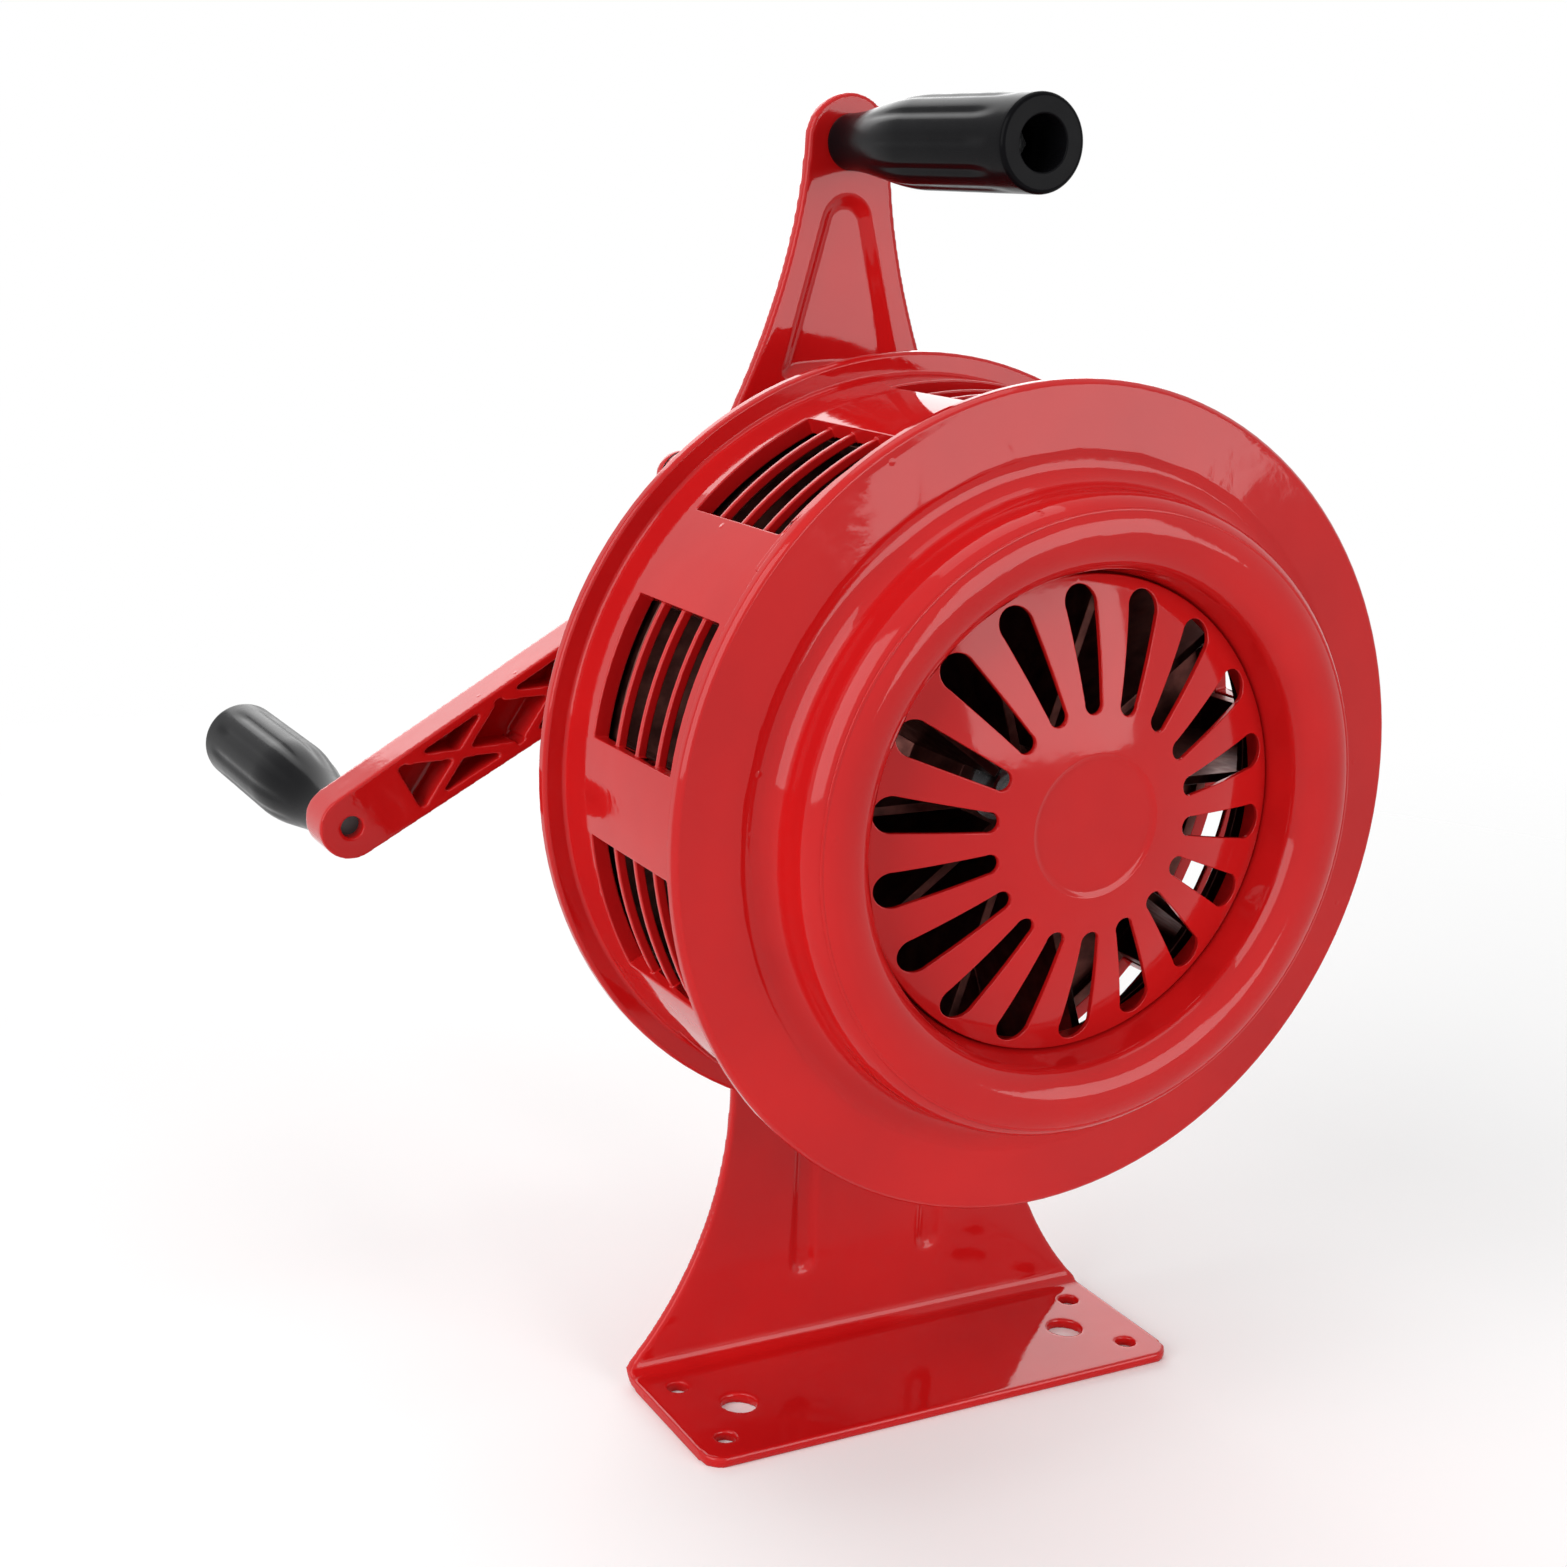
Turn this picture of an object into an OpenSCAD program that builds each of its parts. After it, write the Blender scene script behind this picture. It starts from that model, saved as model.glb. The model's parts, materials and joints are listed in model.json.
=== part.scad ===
// Hand crank siren: a geared rotor in a louvred drum, on a pressed steel stand.
// The siren axis lies along Y. The horn faces -Y and the crank is at +Y.
// The origin is the middle of the foot's hole pattern, on its underside.

/* [Layout] */
// Height of the rotor axis above the foot
axis_z = 178.7; // [150:0.1:220]
// Height of the crank axis above the rotor axis
crank_rise = 49.5; // [49:0.5:51]
// Height of the carry grip above the rotor axis
grip_rise = 158.3; // [145:0.1:175]

/* [Stand] */
// Thickness of the pressed plate
plate_t = 3; // [2:0.5:4]
// Width of the foot
foot_w = 150; // [144:1:170]
// Depth of the foot, from the plate's rear face to its front edge
foot_len = 53.5; // [50:0.5:64]
// Distance from the plate's rear face to the middle of the hole pattern
foot_setback = 29; // [26:0.5:32]
// Distance of the small foot holes from the foot's sides
screw_hole_inset = 9.6; // [8:0.1:13]
// Depth between the small foot holes
screw_hole_d = 29; // [24:0.5:32]
// Radius of the small foot holes
screw_hole_r = 2.9; // [2.5:0.1:3.5]
// Width between the two large foot holes
bolt_hole_w = 107.8; // [100:0.2:112]
// Radius of the large foot holes
bolt_hole_r = 5; // [4:0.25:6]
// Outer radius of the bend between foot and plate
bend_r = 7; // [5:0.5:10]
// Radius of the foot's front corners
foot_corner_r = 6; // [2:0.5:10]
// Width of the plate at its waist
waist_w = 91; // [80:0.2:100]
// Height of the waist above the foot
waist_z = 80; // [70:1:90]
// Radius of the flare below the waist
flare_r = 112; // [100:1:130]
// Radius of the flare above the waist
flare_top_r = 104; // [90:1:130]
// Radius of the ear round each side bolt
ear_r = 11.5; // [10.5:0.5:12]
// Radius of the arch that clears the gear case
arch_r = 54; // [50:0.5:55]
// Distance from the middle to each pressed bead
bead_x = 21; // [16:0.5:26]
// Width of a bead
bead_w = 8; // [6:0.5:10]
// Height of a bead's lower end
bead_low = 27; // [20:1:32]
// Height of a bead's upper end
bead_high = 104; // [90:1:106]
// How far a bead stands out of the plate
bead_h = 1.3; // [0.5:0.1:2]

/* [Stand bolts] */
// Radius of the circle that the three bolts lie on
stand_bolt_circle = 65; // [64:0.2:68]
// Angle between the bottom bolt and a side bolt
side_bolt_angle = 48.7; // [46:0.1:52]
// Radius of the bolt shank
stand_bolt_r = 4; // [3:0.5:4]
// Radius of the flange under the head
stand_flange_r = 9.25; // [8:0.25:9.5]
// Thickness of that flange
stand_flange_t = 1.6; // [1:0.1:2]
// Width across the flats of the head
stand_bolt_af = 13; // [12:0.5:13]
// Height of the hexagon
stand_hex_h = 5.6; // [4:0.2:7]
// Length of the shank
stand_bolt_len = 13; // [11:0.5:13]

/* [Housing] */
// Radius of the rear flange
flange_r = 105.5; // [103:0.5:108]
// Thickness of the rear flange
flange_t = 4; // [3:0.5:5]
// Inner radius of the flat ring on the flange
ring_r = 88; // [86:0.5:88.5]
// Radius of the recess floor
floor_r = 80; // [79:0.5:82]
// Depth of the recess
recess_d = 8; // [7:0.5:9]
// Thickness of the floor
floor_t = 3.5; // [3:0.5:4]
// Outer radius of the drum
drum_r = 99.5; // [98.5:0.5:100]
// Wall of the drum
drum_wall = 4.3; // [4:0.1:5]
// Length of the drum, from the flange's rear face
drum_len = 74.5; // [72:0.5:78]
// Number of louvre groups
louvre_count = 10; // [8:1:10]
// Angle that a louvre group spans
louvre_angle = 21.6; // [16:0.2:24]
// Distance from the flange's rear face to the louvres
louvre_start = 19; // [18:0.5:20]
// Length of a louvre group along the axis
louvre_len = 43; // [38:0.5:44]
// Slots in a louvre group
louvre_slots = 4; // [3:1:5]
// Thickness of a louvre fin
fin_t = 1.7; // [1.2:0.1:2.5]
// How far a fin's edge lies below the drum's surface
fin_sink = 1.5; // [0.5:0.1:2]
// Radius of the boss round each stand bolt
bolt_boss_r = 10.5; // [9.5:0.25:11]
// Height of the gear case above the recess floor
case_h = 47; // [46:0.5:48]
// Wall of the gear case
case_wall = 3.5; // [2.5:0.5:4]
// Half width of the gear case
case_half_w = 46.8; // [46:0.2:48]
// Radius of the case round the crank gear
case_top_r = 45; // [44.5:0.5:47]
// Radius of the case round the rotor axis
case_low_r = 46.4; // [45:0.2:48]
// Radius of a screw column
lug_r = 8; // [7:0.25:8.5]
// Distance from the middle to each screw column
lug_x = 46.6; // [46:0.2:48]
// Height of the upper columns above the rotor axis
lug_high = 67.3; // [66:0.1:69]
// Height of the lower columns above the rotor axis
lug_low = -17.9; // [-19:0.1:-17]

/* [Gear cover] */
// Thickness of the cover
cover_t = 3.5; // [3:0.5:5]
// Thickness of the gasket under it
gasket_t = 0.5; // [0.3:0.1:1]
// Radius of the arm's top end
arm_end_r = 13; // [11:0.5:15]
// Depth of the panel pressed into the arm
panel_d = 1.2; // [0.5:0.1:1.5]
// Radius of the recess round the rotor's end
rotor_recess_r = 8; // [7.5:0.25:9]
// Radius of the stud in that recess
rotor_stud_r = 5.8; // [5:0.2:6.5]
// Radius of the recess round the crank shaft
crank_recess_r = 10.4; // [10:0.2:11]
// Radius of the raised ring round that recess
crank_ring_r = 12.2; // [11.6:0.2:14]
// Height of that ring above the cover
crank_ring_h = 3; // [1.5:0.25:4]
// Depth of both recesses below the cover's face
cover_recess_d = 1.6; // [1:0.1:2]
// Radius of a cover screw's head
cover_head_r = 5.4; // [4.5:0.1:6.5]
// Height of a cover screw's head
cover_head_h = 3.2; // [2.5:0.1:4]
// Radius of a cover screw's shank
cover_screw_r = 2.5; // [2:0.25:3]
// Length of a cover screw's shank
cover_screw_len = 20; // [14:1:25]

/* [Horn] */
// Radius of the horn's rim
rim_r = 105; // [103:0.5:108]
// Thickness of the rim
rim_t = 3.6; // [3:0.1:4.5]
// Radius where the flange meets the fillet
face_r = 89; // [87:0.5:91]
// Radius of the fillet at the neck
neck_fillet_r = 9; // [8:0.5:10]
// Length from the drum to the widest part of the collar
collar_s = 15.5; // [14.5:0.5:17]
// Radius of the collar's middle
collar_mid_r = 70.9; // [70:0.1:72]
// Half width of the collar
collar_a = 9.1; // [8.5:0.1:10]
// Height of the collar's round crest
collar_b = 7.4; // [6:0.2:9]
// Wall of the horn
horn_wall = 3; // [2.5:0.25:3.5]
// Radius of the throat that holds the grille
throat_r = 60; // [59.5:0.1:60.5]
// Length of the spigot inside the drum
spigot_len = 6; // [4:0.5:6]
// Radius of a horn screw
horn_screw_r = 2; // [1.5:0.25:2]

/* [Grille] */
// Number of slots
slot_count = 18; // [12:1:20]
// Radius of the circle through the inner slot ends' centres
slot_in = 29.9; // [28:0.5:34]
// Radius of the circle through the outer slot ends' centres
slot_out = 53.2; // [50:0.5:54]
// Radius of a slot's inner end
slot_in_r = 2.5; // [1.5:0.1:3]
// Radius of a slot's outer end
slot_out_r = 4.5; // [3.5:0.1:4.8]
// Thickness of the grille
grille_t = 1.5; // [1:0.1:2]
// Radius of the dome's sphere
dome_r = 170; // [150:5:220]
// Distance from the drum to the dome's top
dome_s = 20.6; // [19:0.2:22]
// Angle that the slots are turned from the vertical
slot_turn = -4; // [-10:0.5:10]
// Radius of the sunken disc in the middle
disc_r = 16; // [12:0.5:18]
// Depth of the sunken disc
disc_d = 1; // [0.5:0.1:1.2]

/* [Crank] */
// Distance from the crank axis to its grip
crank_len = 155; // [140:1:170]
// Angle of the crank at rest, below the horizontal
crank_rest = 30.2; // [0:0.1:60]
// Radius of the hub
hub_r = 15; // [14:0.25:16]
// Radius of the hub's front face
hub_front_r = 10.8; // [10:0.2:12]
// Gap between the cover and the hub
hub_gap = 12.5; // [8:0.5:14]
// Length of the hub
hub_len = 19.5; // [18.5:0.5:24]
// Distance from the hub's front face to the arm
arm_start = 5.5; // [4:0.5:6]
// Thickness of the arm
arm_t = 14; // [13:0.5:14.5]
// Width of the arm at the hub
arm_w = 23.4; // [21:0.2:26]
// Radius of the arm's end
arm_tip_r = 9; // [8.5:0.1:11]
// Thickness of the arm's web
arm_web_t = 3; // [2:0.5:4]
// Wall round the arm's pockets
arm_wall = 2.6; // [2:0.2:3]
// Distance from the grip's screw to the first crossed ribs
cross_first = 36.5; // [32:0.5:42]
// Distance from one crossing to the next
cross_pitch = 32.5; // [28:0.5:40]
// Width of a crossed rib
cross_w = 2.6; // [1.5:0.1:3.5]
// Radius of the dome cap
cap_r = 12.4; // [11:0.2:13]
// Height of the dome cap
cap_h = 5.6; // [4.5:0.2:7]

/* [Grips] */
// Length of a grip
grip_len = 92; // [85:1:100]
// Largest radius of a grip
grip_r = 12; // [11.5:0.25:14]
// Radius of a grip's neck
grip_neck_r = 7.6; // [7.2:0.2:9]
// Length of the swelling from neck to full radius
grip_swell = 42; // [30:1:50]
// Radius of the bore in a grip's end
grip_bore_r = 6.75; // [6.5:0.25:7]
// Depth of that bore
grip_bore_d = 21; // [16:1:26]
// Number of shallow flutes
flute_count = 10; // [6:1:12]
// Depth of a flute
flute_d = 0.45; // [0.2:0.05:0.6]
// Radius of the screw through a grip
grip_screw_r = 3; // [2.5:0.25:3]

/* [Gear train] */
// Gear module
gear_m = 1; // [0.98:0.005:1]
// Teeth of the crank gear
crank_teeth = 78; // [76:1:78]
// Teeth of the idler pinion
pinion_teeth = 12; // [11:1:13]
// Teeth of the idler gear
idler_teeth = 33; // [31:1:34]
// Teeth of the rotor pinion
rotor_teeth = 11; // [10:1:12]
// Width of the crank gear
crank_gear_w = 8; // [6:0.5:9]
// Width of the idler gear
idler_gear_w = 8; // [6:0.5:9]

/* [Rotor] */
// Running gap between rotor and drum
rotor_gap = 1.2; // [0.8:0.1:1.6]
// Thickness of the rotor's rim
rotor_rim_t = 3.2; // [2.5:0.1:4]
// Thickness of the rotor's back plate
rotor_plate_t = 3; // [2:0.5:4]
// Number of vanes
vane_count = 10; // [8:1:10]
// Thickness of a vane
vane_t = 2.4; // [1.5:0.1:3]
// Radius of the rotor's hub
rotor_hub_r = 12; // [11:0.5:14]
// Radius of the opening in the rotor's front ring
eye_r = 68; // [60:1:75]

/* [Hidden] */
$fn = 96;

// Overrun of a cut past a face
over = 1;
// Overlap of two shapes that are one piece
bite = 0.4;
// Clearance of a fastener or a fixed fit
fit = 0.06;
// Radial clearance of a running fit
run = 0.05;
// Steps of a rounded corner
arc_steps = 8;

screw_hole_w = foot_w - 2 * screw_hole_inset;

// Stations along Y, from the plate's rear face
plate_y = foot_setback;
flange_y = plate_y - plate_t;
flange_front_y = flange_y - flange_t;
floor_y = flange_y - recess_d;
floor_front_y = floor_y - floor_t;
drum_front_y = flange_y - drum_len;
case_y = floor_y + case_h;
cover_y = case_y + gasket_t;
cover_rear_y = cover_y + cover_t;
hub_y = cover_rear_y + hub_gap;
hub_rear_y = hub_y + hub_len;
arm_y = hub_y + arm_start;
arm_rear_y = arm_y + arm_t;
drum_in_r = drum_r - drum_wall;

// Gear pitch radii and the idler's place
crank_pitch_r = gear_m * crank_teeth / 2;
pinion_pitch_r = gear_m * pinion_teeth / 2;
idler_pitch_r = gear_m * idler_teeth / 2;
rotor_pitch_r = gear_m * rotor_teeth / 2;
first_mesh = crank_pitch_r + pinion_pitch_r;
second_mesh = idler_pitch_r + rotor_pitch_r;
idler_rise = (pow(crank_rise, 2) + pow(second_mesh, 2) - pow(first_mesh, 2)) / (2 * crank_rise);
idler_x = sqrt(second_mesh * second_mesh - idler_rise * idler_rise);
gear_backlash = 0.34 * gear_m;
tip_share = 0.8;
root_share = 1.2;
pressure_angle = 20;
flank_steps = 3;
// Stations of the two gear pairs
first_pair_set = 22;
second_pair_set = 7;
first_pair_y = floor_y + first_pair_set;
second_pair_y = floor_y + second_pair_set;
pinion_extra_w = 1.5;

// Ball bearings: bore radius, outer radius, width
front_bearing_bore = 4;
front_bearing_r = 11;
front_bearing_w = 7;
rear_bearing_bore = 2.5;
rear_bearing_r = 8;
rear_bearing_w = 5;
front_bearing = [front_bearing_bore, front_bearing_r, front_bearing_w];
rear_bearing = [rear_bearing_bore, rear_bearing_r, rear_bearing_w];
ring_share = 0.3;
ball_share = 0.22;
ball_count = 7;
front_bearing_sink = 9;
rear_bearing_out = 5.6;
front_bearing_y = floor_y - front_bearing_sink;
rear_bearing_y = cover_y - rear_bearing_out;
bearing_boss_wall = 3.5;
bearing_shoulder_r = 8.6;
clip_t = 1;
clip_depth = 0.5;
clip_w = 1.6;
front_boss_lip = 2.4;
front_boss_y = front_bearing_y - front_boss_lip;

// Shafts and bushes
crank_shaft_r = 6;
crank_journal_r = 5;
crank_end_r = 4;
bush_wall = 2;
bush_floor = 1;
crank_bush_in = 8;
idler_shaft_r = 3;
idler_bush_len = 7.5;
boss_wall = 3;
floor_boss_h = 5;
key_w = 3;
key_sink = 1.5;
key_len = 7;
arm_key_len = 7.5;
washer_t = 1.5;
crank_washer_r = 8;
crank_nut_h = 6.4;
crank_nut_af = 13;
hub_bore_r = 9;
hub_bore_d = 10.5;
cap_plug = 4;
cap_plug_wall = 1;
thrust_r = 9.9;
spacer_r = 9.6;
thrust_t = 1.2;
circlip_r = 8.6;
circlip_t = 1.2;
thrust_y = cover_rear_y - cover_recess_d + 2 * run;
circlip_y = thrust_y + thrust_t + fit;

module siren_axis(rise = 0, x = 0) {
    translate([x, 0, axis_z + rise])
        children();
}

// A plate between two stations on Y, from an outline in X and Z
module slab(y0, y1) {
    translate([0, y1, 0])
        rotate([90, 0, 0])
            linear_extrude(height = y1 - y0)
                children();
}

// A round bar along Y
module rod(r, y0, y1) {
    translate([0, y0, 0])
        rotate([-90, 0, 0])
            cylinder(r = r, h = y1 - y0);
}

// A cone along Y
module cone(r0, r1, y0, y1) {
    translate([0, y0, 0])
        rotate([-90, 0, 0])
            cylinder(r1 = r0, r2 = r1, h = y1 - y0);
}

// A turned piece about Y, from points of radius and station
module turned(points) {
    rotate([-90, 0, 0])
        rotate_extrude()
            polygon(points);
}

// A hexagonal prism along Y
module hexagon(across, y0, y1) {
    translate([0, y0, 0])
        rotate([-90, 0, 0])
            cylinder(r = across / sqrt(3), h = y1 - y0, $fn = 6);
}

module both_sides() {
    children();
    mirror([1, 0, 0])
        children();
}

function unit(v) = v / norm(v);

// The arc that rounds corner p1 between p0 and p2
function corner(p0, p1, p2, r) =
    let (
        a = unit(p0 - p1),
        b = unit(p2 - p1),
        half = acos(a * b) / 2,
        c = p1 + unit(a + b) * r / sin(half),
        s = p1 + a * r / tan(half),
        e = p1 + b * r / tan(half),
        a0 = atan2(s.y - c.y, s.x - c.x),
        a1 = atan2(e.y - c.y, e.x - c.x),
        turn = (a1 - a0 + 540) % 360 - 180
    )
    r == 0 ? [p1] : [for (k = [0:arc_steps])
        let (a = a0 + turn * k / arc_steps)
        c + r * [cos(a), sin(a)]];

// An outline whose corners are [x, y, radius]
function rounded(list) =
    let (n = len(list), p = [for (q = list) [q.x, q.y]])
    [for (i = [0:n - 1]) each corner(p[(i + n - 1) % n], p[i], p[(i + 1) % n], list[i].z)];

// The list with its mirror image behind it, so that it closes to a symmetric outline
function mirrored(list) = concat(list, [for (i = [len(list) - 1:-1:0]) [-list[i].x, list[i].y, list[i].z]]);

// A wedge from the middle of a circle, centred on its top
module wedge(r, half_angle) {
    polygon([[0, 0], [r * tan(half_angle), r], [-r * tan(half_angle), r]]);
}

// A sector of a ring
module ring_sector(r0, r1, half_angle) {
    intersection() {
        difference() {
            circle(r = r1);
            circle(r = r0);
        }
        wedge(2 * r1, half_angle);
    }
}

// Involute gear outline in X and Z with a tooth centred on the top
function involute(rb, t) = rb * [sin(t) - t * PI / 180 * cos(t), cos(t) + t * PI / 180 * sin(t)];

function roll(rb, r) = sqrt(max(0, r * r / (rb * rb) - 1)) * 180 / PI;

function flank(rb, r0, r1, half, side) =
    [for (k = [0:flank_steps])
        let (
            t = roll(rb, r0 + (r1 - r0) * k / flank_steps),
            p = involute(rb, t),
            a = side * half
        )
        [cos(a) * side * -p.x + sin(a) * p.y, cos(a) * p.y - sin(a) * side * -p.x]];

module gear_outline(teeth) {
    pitch_r = gear_m * teeth / 2;
    rb = pitch_r * cos(pressure_angle);
    tip_r = pitch_r + tip_share * gear_m;
    root_r = pitch_r - root_share * gear_m;
    start_r = max(rb, root_r);
    lean = tan(pressure_angle) * 180 / PI - pressure_angle;
    half = 90 / teeth - gear_backlash / (2 * pitch_r) * 180 / PI + lean;
    polygon([for (i = [0:teeth - 1])
        let (
            left = flank(rb, start_r, tip_r, half, -1),
            right = flank(rb, start_r, tip_r, half, 1),
            foot_left = root_r * [sin(-half), cos(-half)],
            foot_right = root_r * [sin(half), cos(half)],
            tooth = concat([foot_left], left, [for (k = [flank_steps:-1:0]) right[k]], [foot_right]),
            a = -i * 360 / teeth
        )
        each [for (p = tooth) [cos(a) * p.x - sin(a) * p.y, sin(a) * p.x + cos(a) * p.y]]]);
}

// Places of the stand bolts, in X and Z from the rotor axis
stand_bolt_spots = [for (a = [-side_bolt_angle, 0, side_bolt_angle])
    stand_bolt_circle * [sin(a), -cos(a)]];

module at_stand_bolts() {
    for (p = stand_bolt_spots)
        siren_axis(p.y, p.x)
            children();
}

module at_lugs() {
    for (z = [lug_low, lug_high])
        both_sides()
            siren_axis(z, lug_x)
                children();
}

// Stand

module foot_holes() {
    both_sides() {
        translate([bolt_hole_w / 2, 0, -over])
            cylinder(r = bolt_hole_r, h = plate_t + 2 * over);
        for (y = [-screw_hole_d / 2, screw_hole_d / 2])
            translate([screw_hole_w / 2, y, -over])
                cylinder(r = screw_hole_r, h = plate_t + 2 * over);
    }
}

module foot_blank() {
    front = plate_y - foot_len;
    rear = plate_y - bend_r;
    linear_extrude(height = plate_t)
        polygon(rounded(mirrored([
            [foot_w / 2, front, foot_corner_r],
            [foot_w / 2, rear, 0]
        ])));
}

module bend_blank() {
    translate([-foot_w / 2, plate_y - bend_r, bend_r])
        rotate([90, 0, 90])
            linear_extrude(height = foot_w)
                intersection() {
                    difference() {
                        circle(r = bend_r);
                        circle(r = bend_r - plate_t);
                    }
                    translate([0, -bend_r])
                        square(bend_r);
                }
}

// The hollows on both sides of the waist, one radius below it and one above
module waist_hollows() {
    both_sides() {
        intersection() {
            translate([waist_w / 2 + flare_r, waist_z])
                circle(r = flare_r);
            translate([0, waist_z - 2 * flare_r])
                square([2 * flare_r, 2 * flare_r]);
        }
        intersection() {
            translate([waist_w / 2 + flare_top_r, waist_z])
                circle(r = flare_top_r);
            translate([0, waist_z - bite])
                square(2 * flare_top_r);
        }
    }
}

// Flat part of the plate: waist, flares, ears and arch
module plate_outline() {
    difference() {
        union() {
            difference() {
                translate([-foot_w / 2, bend_r])
                    square([foot_w, axis_z - bend_r]);
                waist_hollows();
                translate([0, axis_z])
                    circle(r = arch_r);
                translate([-foot_w / 2 - over, axis_z + stand_bolt_spots[0].y])
                    square([foot_w + 2 * over, axis_z]);
            }
            for (p = [stand_bolt_spots[0], stand_bolt_spots[2]])
                translate([p.x, axis_z + p.y])
                    circle(r = ear_r);
        }
        for (p = stand_bolt_spots)
            translate([p.x, axis_z + p.y])
                circle(r = stand_bolt_r + 2 * fit);
    }
}

module bead_outline(w) {
    translate([bead_x - w / 2, bead_low])
        square([w, bead_high - bead_low]);
    for (z = [bead_low, bead_high])
        translate([bead_x, z])
            circle(r = w / 2);
}

module stand_bracket() {
    color("firebrick") {
        difference() {
            union() {
                foot_blank();
                intersection() {
                    bend_blank();
                    slab(plate_y - 2 * bend_r, plate_y + over)
                        difference() {
                            translate([-foot_w / 2, 0])
                                square([foot_w, 2 * bend_r]);
                            waist_hollows();
                        }
                }
                slab(flange_y, plate_y)
                    plate_outline();
                both_sides()
                    slab(flange_y + bead_h, plate_y + bead_h)
                        bead_outline(bead_w);
            }
            foot_holes();
            both_sides()
                slab(flange_y - over, flange_y + bead_h)
                    bead_outline(bead_w - bead_h);
        }
    }
}

module stand_bolts() {
    color("silver")
        at_stand_bolts() {
            rod(stand_bolt_r, plate_y - stand_bolt_len, plate_y + bite);
            rod(stand_flange_r, plate_y, plate_y + stand_flange_t);
            hexagon(stand_bolt_af, plate_y + stand_flange_t - bite, plate_y + stand_flange_t + stand_hex_h);
        }
}

// Housing: drum, flange, recess and gear case in one casting

edge_r = 1.2;
pad_angle = 8;
pad_h = 1;
pad_len = 8.4;
pad_count = 4;
pad_first = 45;
pad_inset = 1.4;
pad_y = drum_front_y + pad_inset + pad_len / 2;
mark_r = 4.6;
mark_angle = 69.6;
mark_h = 0.5;
horn_screw_y = pad_y;
horn_head_r = 3.6;
horn_head_h = 1.8;
cover_hole_d = cover_screw_len + over;

module case_outline() {
    translate([0, crank_rise])
        circle(r = case_top_r);
    circle(r = case_low_r);
    side_outline(case_half_w);
    both_sides()
        for (z = [lug_low, lug_high])
            translate([lug_x, z])
                circle(r = lug_r);
}

// The sides between the columns, with a fillet below and above each column
module side_outline(half_w) {
    reach = lug_x + lug_r;
    slope = lug_r / 2;
    b = asin((lug_low - lug_r) / case_low_r);
    foot = case_low_r * [cos(b), sin(b)];
    polygon(rounded(mirrored([
        [foot.x + sin(b) * lug_r * 0.7, foot.y - cos(b) * lug_r * 0.7, 0],
        [foot.x, foot.y, lug_r * 0.6],
        [reach, lug_low - lug_r, lug_r * 0.95],
        [reach, lug_low + lug_r, lug_r * 0.95],
        [half_w, lug_low + lug_r + slope, lug_r * 0.7],
        [half_w, lug_high - lug_r - slope, lug_r * 0.7],
        [reach, lug_high - lug_r, lug_r * 0.95],
        [reach, lug_high + lug_r, lug_r * 0.95],
        [half_w - lug_r, lug_high + lug_r, 0],
        [half_w - 2 * lug_r, crank_rise, 0]
    ])));
}

module case_cavity() {
    difference() {
        union() {
            translate([0, crank_rise])
                circle(r = case_top_r - case_wall);
            circle(r = case_low_r - case_wall);
            translate([-case_half_w + case_wall, 0])
                square([2 * (case_half_w - case_wall), crank_rise]);
        }
        both_sides()
            for (z = [lug_low, lug_high])
                translate([lug_x, z])
                    circle(r = lug_r);
    }
}

// A port that spans the louvre angle between two radii
module port(r0, r1) {
    half = louvre_angle / 2;
    polygon([
        r0 * [-sin(half), cos(half)],
        r1 * [-sin(half), cos(half)],
        r1 * [sin(half), cos(half)],
        r0 * [sin(half), cos(half)]
    ]);
}

module louvre_windows() {
    rear = flange_y - louvre_start;
    for (i = [0:louvre_count - 1])
        rotate([0, i * 360 / louvre_count, 0])
            slab(rear - louvre_len, rear)
                port(drum_in_r - 4 * over, drum_r + 4 * over);
}

module louvre_fins() {
    rear = flange_y - louvre_start;
    pitch = (louvre_len + fin_t) / louvre_slots;
    for (i = [1:louvre_slots - 1])
        turned([
            [drum_in_r + bite, rear - i * pitch],
            [drum_r - fin_sink, rear - i * pitch],
            [drum_r - fin_sink, rear - i * pitch + fin_t],
            [drum_in_r + bite, rear - i * pitch + fin_t]
        ]);
}

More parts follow.
